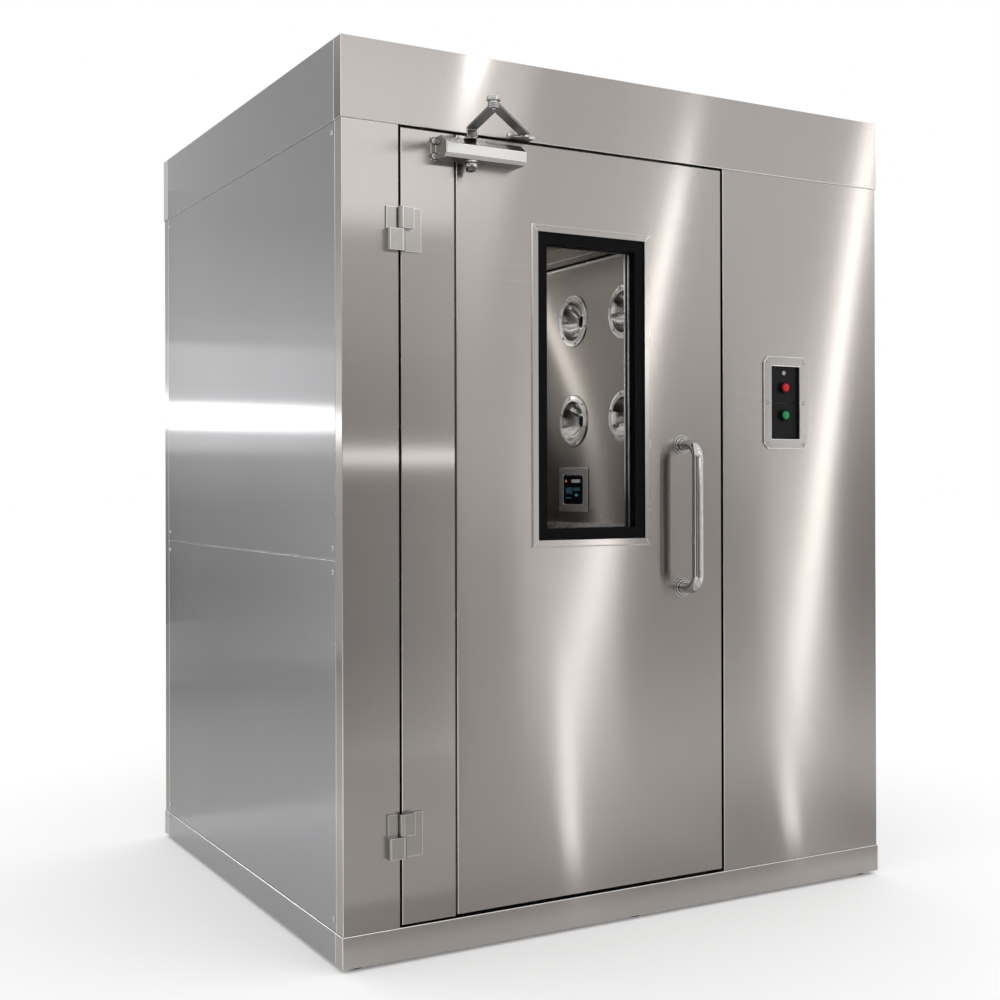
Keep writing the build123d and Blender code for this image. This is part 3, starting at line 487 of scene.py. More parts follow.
# %% [markdown]
# ## Copies and twins
# Whatever repeats is modelled once, pointing up at the origin, and copied with a mesh of its own.
# Such a master is noted in a list, because all masters leave the file at the end. The exit side
# mirrors the entry side, and so do the two walls, so a twin is a copy resized by -1 along an axis.

# %% Helpers for masters, copies and twins
TURNS = {
    "up": (0, 0, 0),
    "front": (pi / 2, 0, 0),
    "left": (0, -pi / 2, 0),
    "right": (0, pi / 2, 0),
}


def copies_at(model, name, places, facing):
    """Copies of a piece that points up, turned to face a side and set at each place, as one piece."""
    copies = []
    for place in places:
        only(model)
        bpy.ops.object.duplicate()
        copy = bpy.context.active_object
        copy.rotation_euler = TURNS[facing]
        copy.location = place
        copies.append(copy)
    only(*copies)
    bpy.ops.object.transform_apply(location=True, rotation=True, scale=True)
    return joined(name, copies)


def twin_of(piece, name, flip):
    """A mirrored copy: flip is (1, -1, 1) for the exit side and (-1, 1, 1) for the other wall."""
    only(piece)
    bpy.ops.object.duplicate()
    twin = bpy.context.active_object
    twin.name = name
    edit_all()
    bpy.ops.transform.resize(value=flip, center_override=(0, 0, 0))
    bpy.ops.mesh.normals_make_consistent(inside=False)
    bpy.ops.object.mode_set(mode="OBJECT")
    return twin


EXIT_SIDE = (1, -1, 1)
OTHER_WALL = (-1, 1, 1)
masters = []


def master(name, profile, sides):
    """A turned piece that is only there to be copied."""
    piece = turned(name, profile, sides)
    masters.append(piece)
    return piece


print("sides a copy can face:", list(TURNS))

# %% [markdown]
# ## Into the model
# A finished piece takes its material and the body it rides on, and names the CAD part that it
# stands in for, which is hidden. On the entry side a piece rides on the door or the arms. Its
# twin on the exit side is fixed, so it always rides on the root.

# %% Helpers for finished pieces
def finished(piece, body, material=None, replaced=()):
    """Gives a piece its finish and its place in the model; a piece may bring its own finish."""
    only(piece)
    bpy.ops.object.transform_apply(location=True, rotation=True, scale=True)
    if material:
        piece.data.materials.clear()
        piece.data.materials.append(material)
    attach(piece, body)
    for node in replaced:
        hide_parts(node)
    print(piece.name, len(piece.data.polygons), "faces on", body)
    return piece


def finished_pair(piece, twin_name, body, material):
    """Finishes a piece of the entry side and its fixed twin on the exit side."""
    finished(twin_of(piece, twin_name, EXIT_SIDE), "root", material)
    finished(piece, body, material)


print("helpers: finished, finished_pair")

# %% [markdown]
# ## Softened copies
# A CAD part has true but perfectly sharp edges, and a sharp edge never catches light. A merged
# copy gets a Bevel modifier, whose faces take a brighter finish as a painted highlight, and stands
# in for the part. The Weighted Normal modifier then keeps the broad faces flat, so that only the
# edges shine.

# %% Helpers for softened copies
def flat_shaded(piece):
    """Lets the broad faces of the active piece shade flat, so that only its edges catch light."""
    bpy.ops.object.shade_smooth_by_angle(angle=SMOOTH_BELOW)
    level = piece.modifiers.new("flat_faces", "WEIGHTED_NORMAL")
    level.keep_sharp = True
    bpy.ops.object.modifier_apply(modifier=level.name)
    return piece


def softened_copy(node, name, edge, finish, highlight_finish=None):
    """A copy of a CAD part, merged, with its sharp edges rounded; a lighter second finish on them is a
    painted highlight.
    """
    only(nodes[node])
    bpy.ops.object.duplicate()
    copy = bpy.context.active_object
    copy.name = name
    copy.parent = None
    for key in [key for key in copy.keys() if key.startswith("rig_")]:
        del copy[key]
    copy.data.materials.clear()
    copy.data.materials.append(finish)
    copy.data.materials.append(highlight_finish or finish)
    edit_all()
    bpy.ops.mesh.remove_doubles(threshold=1e-5)
    bpy.ops.mesh.dissolve_limited(angle_limit=radians(1))
    bpy.ops.mesh.normals_make_consistent(inside=False)
    bpy.ops.object.mode_set(mode="OBJECT")
    bevel = copy.modifiers.new("edges", "BEVEL")
    bevel.width = edge
    bevel.segments = 2
    bevel.limit_method = "ANGLE"
    bevel.angle_limit = radians(40)
    bevel.material = 1
    bpy.ops.object.modifier_apply(modifier=bevel.name)
    return flat_shaded(copy)


print("helpers: flat_shaded, softened_copy")

# %% [markdown]
# ## Faces with a finish of their own
# Two small tricks change the finish of some faces and leave the form alone. An inset leaves a
# narrow border round a front face, which takes a brighter finish as a painted highlight. The faces
# that look down take a darker finish, which is painted shade under the part.

# %% Helpers for borders and undersides
FRONT_ON, DOWNWARD, SMALLEST_FACE = 0.98, -0.85, 0.0004


def outlined(piece, side, width):
    """Insets the faces that look along side on Y; their border takes the second finish, a painted highlight.
    """
    only(piece)
    bpy.ops.object.mode_set(mode="EDIT")
    bpy.ops.mesh.select_mode(type="FACE")
    bpy.ops.mesh.select_all(action="DESELECT")
    bpy.ops.object.mode_set(mode="OBJECT")
    for face in piece.data.polygons:
        face.select = face.normal.y * side > FRONT_ON and face.area > SMALLEST_FACE
    bpy.ops.object.mode_set(mode="EDIT")
    bpy.ops.mesh.inset(thickness=width, depth=0)
    bpy.ops.object.mode_set(mode="OBJECT")
    for face in piece.data.polygons:
        if face.normal.y * side > FRONT_ON and not face.select:
            face.material_index = 1
    return flat_shaded(piece)


def dark_beneath(piece, finish):
    """Gives the faces that look down a finish of their own; with a dark finish this paints shade beneath."""
    piece.data.materials.append(finish)
    for face in piece.data.polygons:
        if face.normal.z < DOWNWARD:
            face.material_index = len(piece.data.materials) - 1
    return piece


print("helpers: outlined, dark_beneath")

# %% [markdown]
# ## One screw for everything
# Sheet-metal screws hold the panels, the nozzle flanges, the closer and the control frame. They
# differ only in size, so one profile with a sunk recess in its top is turned in three sizes, and
# every screw is a copy of one of the three. A head of 16 sides is round enough at this size and
# keeps the hundred copies light. A flat dark ring under some of the heads is a painted shadow.

# %% The screw head and its painted shadow ring
def screw_head(name, radius, height):
    """A low domed head with a sunk socket."""
    return master(name, [
        (radius, 0.0),
        (radius, 0.35 * height),
        (0.86 * radius, 0.75 * height),
        (0.60 * radius, height),
        (0.42 * radius, height),
        (0.36 * radius, 0.35 * height),
    ], sides=16)


small_screw = screw_head("small_screw", 0.0036, 0.0018)
panel_screw = screw_head("panel_screw", 0.0062, 0.0024)
closer_screw = screw_head("closer_screw", 0.0072, 0.0040)


def screw_shadow_ring(name, radius):
    """A flat dark ring round a head of this radius, as a painted shadow."""
    return master(name, [(1.35 * radius, -0.0004), (1.35 * radius, 0.0002), (1.25 * radius, 0.0005),
                         (1.02 * radius, 0.0005)], sides=20)


small_shadow_ring = screw_shadow_ring("small_shadow_ring", 0.0036)
closer_shadow_ring = screw_shadow_ring("closer_shadow_ring", 0.0072)
print("screw heads of", len(small_screw.data.polygons), "faces")

# %% [markdown]
# ## Screws of the side sheets
# Each side has an upper and a lower sheet, held near its corners. The heads stand on the sheet,
# and both sides and both ends are the same, so one list of places serves all four corners.

# %% Panel screws
side_low, side_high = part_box("left_side_panels")
SCREW_IN = 0.0155
BELOW_SEAM, ABOVE_SEAM = 0.9200, 0.9760
SCREW_HEIGHTS = (side_low.z + 0.028, BELOW_SEAM, ABOVE_SEAM, side_high.z - 0.026)
corner_places = [(SIDE_FACE, y, z) for y in (side_low.y + SCREW_IN, side_high.y - SCREW_IN)
                 for z in SCREW_HEIGHTS]
left_screws = copies_at(panel_screw, "left_panel_screws", corner_places, "left")
right_screws = twin_of(left_screws, "right_panel_screws", OTHER_WALL)
finished(left_screws, "root", screw_steel)
finished(right_screws, "root", screw_steel)

# %% [markdown]
# ## The air nozzles
# A nozzle is a spun dish of polished steel: a flat flange that is screwed to the lining, a bead,
# and a hollow cone that narrows to the throat where the air comes out. The profile starts at
# the back of the dish, runs out to the flange and comes back in at the front, so the dish has a
# real wall. The faces of the bead and the outer rim take the light second finish as a painted
# highlight. A black plug deep in the throat is painted shade, which keeps the hole dark.

# %% Turn one nozzle and its throat
BEAD_FROM, BEAD_TO, RIM_FROM = 0.0606, 0.0672, 0.0772
nozzle = master("nozzle", [
    (0.0190, -0.0500), (0.0190, -0.0380), (0.0290, -0.0310), (0.0440, -0.0220), (0.0570, -0.0110),
    (0.0660, -0.0005), (0.0810, 0.0000), (0.0810, 0.0022), (0.0796, 0.0038), (0.0770, 0.0042),
    (0.0690, 0.0042), (0.0680, 0.0032), (0.0668, 0.0032), (0.0655, 0.0050), (0.0625, 0.0050),
    (0.0608, 0.0030), (0.0575, -0.0020), (0.0500, -0.0095), (0.0400, -0.0172), (0.0300, -0.0238),
    (0.0240, -0.0270), (0.0225, -0.0260), (0.0190, -0.0260), (0.0175, -0.0275), (0.0168, -0.0310),
    (0.0165, -0.0350), (0.0160, -0.0470),
], 64)
nozzle.data.materials.append(spun_steel)
nozzle.data.materials.append(painted_highlight_steel)
# Painted highlight: faces on the bead and the rim take the light steel.
for face in nozzle.data.polygons:
    reach = face.center.xy.length
    on_bead, on_rim = BEAD_FROM < reach < BEAD_TO, reach > RIM_FROM
    if face.center.z > 0 and (on_bead or on_rim):
        face.material_index = 1
# Painted shade: a black plug deep in each throat keeps the hole dark.
throat = master("throat", [(0.0164, -0.0400), (0.0164, -0.0330), (0.0120, -0.0322), (0.0040, -0.0330)], 32)
print("nozzle of", len(nozzle.data.polygons), "faces")

# %% [markdown]
# ## Twelve nozzles on two walls
# Each wall has three columns and two rows of nozzles, and six small screws stand round each
# flange. The right wall is filled first. Its mirror image is then moved onto the left wall, since
# the two walls don't stand at the same distance from the middle of the cabinet.

# %% Nozzles, screws and throats on both walls
nozzle_places = [(WALL_FACE, y, z) for y in (-COLUMN_PITCH, 0.0, COLUMN_PITCH)
                 for z in (dish_low.z + FLANGE, dish_high.z - FLANGE)]
SCREW_CIRCLE, FLANGE_FRONT, FIRST_SCREW = 0.0735, 0.0042, 0.3
turns = [step * pi / 3 + FIRST_SCREW for step in range(6)]
rim_places = [(x - FLANGE_FRONT, y + SCREW_CIRCLE * cos(turn), z + SCREW_CIRCLE * sin(turn))
              for x, y, z in nozzle_places for turn in turns]


def to_left_wall(piece, name):
    """The same piece on the lining of the hinge side."""
    twin = twin_of(piece, name, OTHER_WALL)
    only(twin)
    bpy.ops.transform.translate(value=(WALL_LEFT_FACE + WALL_FACE, 0, 0))
    bpy.ops.object.transform_apply(location=True, rotation=True, scale=True)
    return twin


for part, places, name, slot, finish, cad_part in (
        (nozzle, nozzle_places, "nozzle_dishes", "polished_steel", None, ["nozzles_"]),
        (small_screw, rim_places, "nozzle_screws", "satin_fittings", screw_steel, []),
        (throat, nozzle_places, "nozzle_throats", "black_plastic", black_plastic, [])):
    right = copies_at(part, "right_" + name, places, "left")
    left = to_left_wall(right, "left_" + name)
    finished(right, "root", finish, [node + "right" for node in cad_part])
    finished(left, "root", finish, [node + "left" for node in cad_part])

# %% [markdown]
# ## The joint under the ceiling
# Where a lining sheet meets the ceiling there is a gap with a bead below it. The gap is a black
# bar of painted shade, and the bead is in light steel as a painted highlight. Further in, the
# folded edge of the soffit shows as one more painted highlight. All three are long thin bars,
# modelled for one wall and mirrored to the other.

# %% Bead, seam and gap along the ceiling
wall_low, wall_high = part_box("inner_wall_right")
SOFFIT_LEFT, SOFFIT_RIGHT = 0.1880, 0.1930


def along_ceiling(name, left, right, bottom, top, edge):
    """Two long bars, one for each wall; bottom and top are measured from the top of the lining."""
    low = (left, wall_low.y, wall_high.z + bottom)
    high = (right, wall_high.y, wall_high.z + top)
    piece = bar(name, low, high, edge)
    return [piece, to_left_wall(piece, name + "_left")]


beads = along_ceiling("ceiling_bead", WALL_FACE - 0.006, WALL_FACE + 0.001, -0.012, -0.005, 0.0015)
seams = along_ceiling("ceiling_seam", SOFFIT_LEFT, SOFFIT_RIGHT, -0.0015, 0.0005, 0.0005)
gap_shades = along_ceiling("ceiling_gap_shade", WALL_FACE - 0.003, WALL_FACE + 0.001, -0.005, 0.0005, 0.0005)
finished(joined("ceiling_beads", beads + seams), "root", painted_highlight_steel)
# Painted shade: the black bars fill the joint under the ceiling.
finished(joined("ceiling_gap_shades", gap_shades), "root", black_rubber)

# %% [markdown]
# ## Hinges
# Each hinge is two thick leaves that share a barrel, and its grey metal stands out from the sheet
# only by the light line round each face, which is a painted highlight. A bevel makes the edge, and
# an inset of the front faces makes the line a little wider than the bevel alone.

# %% Hinge leaves with painted highlights on their edges
HINGE_EDGE, HINGE_LINE = 0.0012, 0.0013
for node, side, body in (("frame_hinges", -1, "root"), ("door_hinges", -1, "entry_door"),
                         ("exit_hinges", 1, "root")):
    name = node.replace("hinges", "hinge_leaves")
    soft = softened_copy(node, name, HINGE_EDGE, hinge_steel, painted_rim_highlight_steel)
    finished(outlined(soft, side, HINGE_LINE), body, None, [node])

# %% [markdown]
# ## The body of the door closer
# The closer is a sprung, oil-filled body on the leaf, with two arms that fold up to a shoe on the
# header. Its cast body is softened in the same way as the hinges. On the copy of the body, the
# plain drum under the spindle is pressed flat, because a turned collar takes its place. The
# underside of the casting takes a dark finish, which is painted shade.

# %% Closer bodies of the entry and the exit
body_low, body_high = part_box("closer_body")
bracket_low, bracket_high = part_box("closer_bracket")
shoe_low, shoe_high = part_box("closer_shoe")
arm_low, arm_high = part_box("closer_main_arm")
forearm_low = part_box("closer_forearm")[0]
SPINDLE_X = body_low.x + 0.075
SPINDLE_Y = FRONT_FACE - 0.0325
BODY_BOTTOM = bracket_low.z + 0.002


def drum_pressed_flat(piece, side):
    """Presses the drum under the spindle into a thin washer; side is 1 for the entry door."""
    bpy.ops.object.select_all(action="DESELECT")
    for vertex in piece.data.vertices:
        vertex.select = vertex.co.z < BODY_BOTTOM - 0.001 and side * vertex.co.y < 0
    only(piece)
    bpy.ops.object.mode_set(mode="EDIT")
    bpy.ops.mesh.select_mode(type="VERT")
    bpy.ops.transform.resize(value=(0.6, 0.6, 0.05),
                             center_override=(SPINDLE_X, side * SPINDLE_Y, BODY_BOTTOM))
    bpy.ops.object.mode_set(mode="OBJECT")
    return piece


for node, side, edge, body in (("closer_body", 1, 0.0012, "entry_door"), ("exit_closer", -1, 0.0010, "root")):
    soft = softened_copy(node, node + "_soft", edge, satin_metal, painted_highlight_steel)
    finished(dark_beneath(drum_pressed_flat(soft, side), painted_shade_steel), body, None, [node])

# %% [markdown]
# ## Bracket, arms and shoe of the closer
# A folded bracket holds the body on the door. The two arms are flat bars of a darker steel than
# the castings, and the shoe carries the pin of the forearm. Their undersides take painted shade
# too, except under the main arm, which is seen from below against the header: its lowest face
# takes the light steel as a painted highlight.

# %% Bracket, arms and shoe
for node, body, edge, finish in (("closer_bracket", "entry_door", 0.0008, hinge_steel),
                                 ("closer_main_arm", "main_arm", 0.0010, arm_steel),
                                 ("closer_forearm", "forearm", 0.0010, arm_steel),
                                 ("closer_shoe", "root", 0.0009, satin_metal)):
    soft = dark_beneath(softened_copy(node, node + "_soft", edge, finish, painted_highlight_steel), painted_shade_steel)
    # Painted highlight: the lowest face of the main arm takes the light steel.
    if node == "closer_main_arm":
        for face in soft.data.polygons:
            if face.center.z < arm_low.z + 0.001:
                face.material_index = 1
    finished(soft, body, None, [node])

# %% [markdown]
# ## Turned parts of the closer
# Under the body, the spindle ends in a turned collar and a dark nut, and above it an eight-sided
# neck carries the main arm. At the elbow a domed cap sits on a grooved neck, with a rivet below
# it, and a nut holds the forearm on the shoe. A thin dark ring in the grooves of the cap and of
# the collar is painted shade. All of them are turned from a profile as before. A nut is the same
# thing with six sides.

# %% Collar, nuts, dome, rivet, shade ring for the grooves, and neck
collar_under = master("collar_under", [
    (0.0140, 0.0005), (0.0165, -0.0010), (0.0165, -0.0040), (0.0150, -0.0052), (0.0132, -0.0056),
    (0.0132, -0.0072), (0.0150, -0.0076), (0.0163, -0.0086), (0.0163, -0.0120), (0.0150, -0.0150),
    (0.0120, -0.0168), (0.0100, -0.0172)], 40)
nut_under = master("nut_under", [(0.0100, -0.0160), (0.0118, -0.0172), (0.0118, -0.0240), (0.0100, -0.0256),
                                 (0.0060, -0.0256), (0.0055, -0.0200)], 6)
dome = master("dome", [
    (0.0100, -0.0006), (0.0100, 0.0034), (0.0145, 0.0040), (0.0160, 0.0052), (0.0160, 0.0074),
    (0.0150, 0.0084), (0.0136, 0.0086), (0.0136, 0.0096), (0.0150, 0.0100), (0.0146, 0.0128),
    (0.0125, 0.0154), (0.0090, 0.0170), (0.0045, 0.0178), (0.0015, 0.0180)], 40)
rivet = master("rivet", [(0.0052, 0.0005), (0.0052, -0.0010), (0.0040, -0.0026), (0.0018, -0.0034)], 20)
shoe_nut = master("shoe_nut", [(0.0082, 0.0), (0.0094, 0.0008), (0.0094, 0.0052), (0.0082, 0.0062),
                               (0.0050, 0.0062), (0.0050, 0.0088), (0.0036, 0.0096)], 6)
# Painted shade: a dark ring laid in the grooves of the cap and the collar.
groove_shade_ring = master("groove_shade_ring", [(0.0140, 0.0), (0.0146, 0.0001), (0.0146, 0.0015), (0.0140, 0.0016)], 40)
NECK_LOW, NECK_RISE = bracket_high.z - 0.0030, arm_low.z - bracket_high.z + 0.0028
neck = master("neck", [(radius, share * NECK_RISE) for radius, share in (
    (0.0150, 0.0), (0.0150, 0.45), (0.0135, 0.55), (0.0135, 0.62), (0.0146, 0.70), (0.0146, 1.0))], 8)
print("neck from", round(NECK_LOW, 4), "rises", round(NECK_RISE, 4))

# %% [markdown]
# ## The turned parts in place
# Each part rides on what it is fastened to: the collar and the neck on the door, the rivet on the
# main arm, and the cap on the forearm. The closer of the exit doesn't move, so the twins of all
# these parts are gathered into four fixed pieces.

# %% Turned parts on both closers
elbow_x, elbow_y = forearm_low.x + 0.015, forearm_low.y + 0.015
DOME_LOW = arm_high.z + 0.0065
spindle_place = (SPINDLE_X, SPINDLE_Y, BODY_BOTTOM)
TURNED_PARTS = (
    (neck, "spindle_neck", (SPINDLE_X, SPINDLE_Y, NECK_LOW), "entry_door", screw_steel, "exit_spindle_neck"),
    (collar_under, "spindle_collar", spindle_place, "entry_door", polished_steel, "exit_closer_turned"),
    (dome, "elbow_dome", (elbow_x, elbow_y, DOME_LOW), "forearm", polished_steel, "exit_closer_turned"),
    (rivet, "elbow_rivet", (elbow_x, elbow_y, arm_high.z - 0.006), "main_arm", screw_steel,
     "exit_closer_turned"),
    (shoe_nut, "shoe_pin_nut", (shoe_high.x - 0.030, SPINDLE_Y, shoe_high.z), "root", polished_steel,
     "exit_closer_turned"),
    (nut_under, "spindle_nut", spindle_place, "entry_door", dull_steel_and_painted_shade, "exit_spindle_nut"),
    (groove_shade_ring, "elbow_groove_shade", (elbow_x, elbow_y, DOME_LOW + 0.0083), "forearm", dull_steel_and_painted_shade,
     "exit_closer_groove_shades"),
    (groove_shade_ring, "spindle_groove_shade", (SPINDLE_X, SPINDLE_Y, BODY_BOTTOM - 0.0072), "entry_door", dull_steel_and_painted_shade,
     "exit_closer_groove_shades"),
)
exit_groups = {}
for part, name, place, body, finish, group in TURNED_PARTS:
    piece = copies_at(part, name, [place], "up")
    exit_groups.setdefault(group, []).append(twin_of(piece, "exit_" + name, EXIT_SIDE))
    finished(piece, body, finish)
for group, finish in (("exit_spindle_neck", screw_steel), ("exit_closer_turned", polished_steel),
                      ("exit_spindle_nut", dull_steel_and_painted_shade), ("exit_closer_groove_shades", dull_steel_and_painted_shade)):
    finished(joined(group, exit_groups[group]), "root", finish)

# %% [markdown]
# ## Screws of the closer
# The flange of the bracket is screwed to the door, the cheek is screwed to the body, and two
# small valves on the far end set the closing speed. They are all copies of one head, and a dark
# ring of painted shadow lies round the heads that hold the bracket.

# %% Closer screws and their painted shadow rings
FLANGE_IN, CHEEK_IN = 0.010, 0.014
flange_places = [(bracket_low.x + 0.0085, FRONT_FACE - 0.004, z)
                 for z in (bracket_high.z - FLANGE_IN, bracket_low.z + FLANGE_IN)]
cheek_places = [(bracket_low.x + 0.013, FRONT_FACE - 0.020, z)
                for z in (bracket_high.z - CHEEK_IN, bracket_low.z + CHEEK_IN)]
valve_places = [(body_high.x, FRONT_FACE - 0.022, z) for z in (bracket_high.z - 0.018, bracket_low.z + 0.016)]
shoe_places = [(x, shoe_high.y - 0.005, shoe_low.z + 0.006)
               for x in (shoe_low.x + 0.009, shoe_high.x - 0.009)]
closer_shadow_rings = joined("closer_screw_shadow_rings", [copies_at(closer_shadow_ring, "flange_shadow_rings", flange_places, "front"),
                                             copies_at(small_shadow_ring, "cheek_shadow_rings", cheek_places, "left")])
finished_pair(closer_shadow_rings, "exit_closer_shadow_rings", "entry_door", dull_steel_and_painted_shade)
leaf_screws = joined("closer_leaf_screws", [copies_at(closer_screw, "flange_screws", flange_places, "front"),
                                            copies_at(small_screw, "cheek_screws", cheek_places, "left"),
                                            copies_at(small_screw, "valve_screws", valve_places, "right")])
shoe_screws = copies_at(small_screw, "closer_shoe_screws", shoe_places, "front")
exit_closer_screws = joined("exit_closer_screws", [twin_of(leaf_screws, "exit_leaf_screws", EXIT_SIDE),
                                                   twin_of(shoe_screws, "exit_shoe_screws", EXIT_SIDE)])
finished(leaf_screws, "entry_door", screw_steel)
finished(shoe_screws, "root", screw_steel)
finished(exit_closer_screws, "root", screw_steel)

# %% [markdown]
# ## The pull tube
# The tube and its stepped roses come from CAD with fine enough facets. A merged copy only needs
# smooth shading, and the edges of the roses are rounded a little so that each step shows as a
# bright ring. The rounded edges take the slightly lighter screw steel, a faint painted highlight.

# %% Handles
for node, body in (("door_handle", "entry_door"), ("exit_handle", "root")):
    tube = softened_copy(node, node + "_tube", 0.0007, polished_steel, screw_steel)
    finished(tube, body, None, [node])

# %% [markdown]
# ## Painted shade in the joints of the roses
# A rose is built of two steps, and the tube is let into the upper one. The fine dark line in both
# joints is painted shade: a flat dark ring is turned for each joint and laid over it.

# %% Painted shade rings round the steps and the tube
handle_low, handle_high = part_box("door_handle")
step_shade_ring = master("step_shade_ring", [(0.0226, -0.0005), (0.0226, 0.0004), (0.0216, 0.0008), (0.0208, 0.0008)], 40)
tube_shade_ring = master("tube_shade_ring", [(0.0164, -0.0004), (0.0164, 0.0004), (0.0158, 0.0008), (0.0148, 0.0008)], 40)
STEP_RISE, TUBE_RISE, ROSE_IN = 0.004, 0.008, 0.0255


def ring_places(rise):
    """The two places of a ring, one for each rose, at a height above the leaf."""
    middle = (handle_low.x + handle_high.x) / 2
    return [(middle, handle_high.y - rise, z) for z in (handle_low.z + ROSE_IN, handle_high.z - ROSE_IN)]


rose_shade_rings = joined("rose_shade_rings", [copies_at(step_shade_ring, "step_shade_rings", ring_places(STEP_RISE), "front"),
                                   copies_at(tube_shade_ring, "tube_shade_rings", ring_places(TUBE_RISE), "front")])
finished_pair(rose_shade_rings, "exit_rose_shade_rings", "entry_door", dull_steel_and_painted_shade)

# %% [markdown]
# ## Mitres of the window
# A black rubber frame holds the pane behind a bevelled steel border. Both are cut from strips, and
# at each corner two strips meet in a mitre that shows as a thin line. Each line is a thin bar laid
# across the corner, and the four of a frame are one piece. On the steel border the line is in light
# steel, a painted highlight; on the rubber it is a black joint.

# %% Mitre lines of the rubber frame and the trim
gasket_low, gasket_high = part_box("window_gasket")
trim_low, trim_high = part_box("window_trim")
STRIP, TRIM_STRIP = 0.028, 0.017
HALF_LINE, PAST_MIDDLE = 0.0004, 0.68


def mitre_lines(name, low, high, strip):
    """A thin bar across each corner of a frame whose strips are this wide."""
    lines = []
    for x, side in ((low.x, 1), (high.x, -1)):
        for z, rise in ((low.z, 1), (high.z, -1)):
            middle = Vector((x + side * strip / 2, low.y, z + rise * strip / 2))
            reach = strip * PAST_MIDDLE
            line = bar("line", (-HALF_LINE, -0.0002, -reach), (HALF_LINE, 0.0004, reach), 0.0001)
            line.rotation_euler = (0, side * rise * pi / 4, 0)
            line.location = middle
            lines.append(line)
    only(*lines)
    bpy.ops.object.transform_apply(location=True, rotation=True, scale=True)
    return joined(name, lines)


finished_pair(mitre_lines("trim_mitres", trim_low, trim_high, TRIM_STRIP), "exit_trim_mitres",
              "entry_door", painted_highlight_steel)
finished_pair(mitre_lines("window_mitres", gasket_low, gasket_high, STRIP), "exit_window_mitres",
              "entry_door", black_plastic)

# %% [markdown]
# ## The bead behind the glass
# Behind the pane, a dark bead runs round the sight opening and holds the glass. It covers the
# middle of the steel edge there, so that edge shows as two bright lines with a dark one between.

# %% Four beads round the opening
SIGHT_LEFT, SIGHT_RIGHT = gasket_low.x + STRIP, gasket_high.x - STRIP
SIGHT_LOW, SIGHT_HIGH = gasket_low.z + STRIP, gasket_high.z - STRIP
BEAD_FRONT, BEAD_BACK = leaf_high.y - 0.0165, leaf_high.y - 0.0065
BEAD, INTO_FRAME, BROKEN_EDGE = 0.0012, 0.0005, 0.0003
SPANS = (
    (SIGHT_LEFT - INTO_FRAME, SIGHT_LEFT + BEAD, SIGHT_LOW, SIGHT_HIGH),
    (SIGHT_RIGHT - BEAD, SIGHT_RIGHT + INTO_FRAME, SIGHT_LOW, SIGHT_HIGH),
    (SIGHT_LEFT, SIGHT_RIGHT, SIGHT_LOW - INTO_FRAME, SIGHT_LOW + BEAD),
    (SIGHT_LEFT, SIGHT_RIGHT, SIGHT_HIGH - BEAD, SIGHT_HIGH + INTO_FRAME),
)
bead_bars = [bar("bead", (left, BEAD_FRONT, low), (right, BEAD_BACK, high), BROKEN_EDGE)
             for left, right, low, high in SPANS]
finished_pair(joined("window_bead", bead_bars), "exit_window_bead", "entry_door",
              black_plastic)

# %% [markdown]
# ## Bright lines of the reveal
# On both sides of the dark bead the cut edge of the steel is polished and catches the light of
# the chamber. Four thin upright bars of light steel, two at each side of the opening, draw these
# lines as painted highlights.

# %% Upright lines beside the bead
LINE_DEPTHS = (leaf_high.y - 0.0034, BEAD_FRONT - 0.0036)
THIN, DEEP = 0.0010, 0.0035
reveal_bars = [bar("reveal", (x - THIN, y - DEEP, SIGHT_LOW), (x + THIN, y + DEEP, SIGHT_HIGH), BROKEN_EDGE)
               for x in (SIGHT_LEFT, SIGHT_RIGHT) for y in LINE_DEPTHS]
finished_pair(joined("window_reveal_lines", reveal_bars), "exit_window_reveal_lines", "entry_door",
              painted_highlight_steel)

# %% [markdown]
# ## Lamps of the control panel
# The front controls sit in a screwed steel frame: two black plates, each with a round collar and
# a domed lens, red above and green below. A real lens is a shallow dome of coloured plastic. It
# is turned with a curved profile, and it replaces the plain lens of the CAD model.

# %% Collars and lenses
red_low, red_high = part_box("red_lamp")
green_low, green_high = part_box("green_lamp")
lamp_x, lens_back = (red_low.x + red_high.x) / 2, red_high.y
red_place = (lamp_x, lens_back, (red_low.z + red_high.z) / 2)
green_place = (lamp_x, lens_back, (green_low.z + green_high.z) / 2)
lens = master("lens", [(0.0112, -0.003), (0.0112, 0.0010), (0.0106, 0.0026), (0.0090, 0.0042),
                       (0.0066, 0.0052), (0.0036, 0.0058), (0.0012, 0.0060)], 32)
collar = master("collar", [(0.0150, -0.0100), (0.0150, 0.0000), (0.0146, 0.0010), (0.0136, 0.0014),
                           (0.0124, 0.0010), (0.0116, -0.0010)], 32)
finished(copies_at(lens, "red_lens_dome", [red_place], "front"), "root", red_lens, ["red_lamp"])
finished(copies_at(lens, "green_lens_dome", [green_place], "front"), "root", green_lens,
         ["green_lamp"])
finished(copies_at(collar, "lamp_collars", [red_place, green_place], "front"), "root",
         black_plastic)

# %% [markdown]
# ## Frame, plates and screws of the control panel
# The frame is a steel sheet with broken edges in light steel as a painted highlight, held by six
# small screws with dark rings of painted shadow. Above the lamps a round lock sits in the upper
# plate. It is turned with a sunk ring and a raised pin.

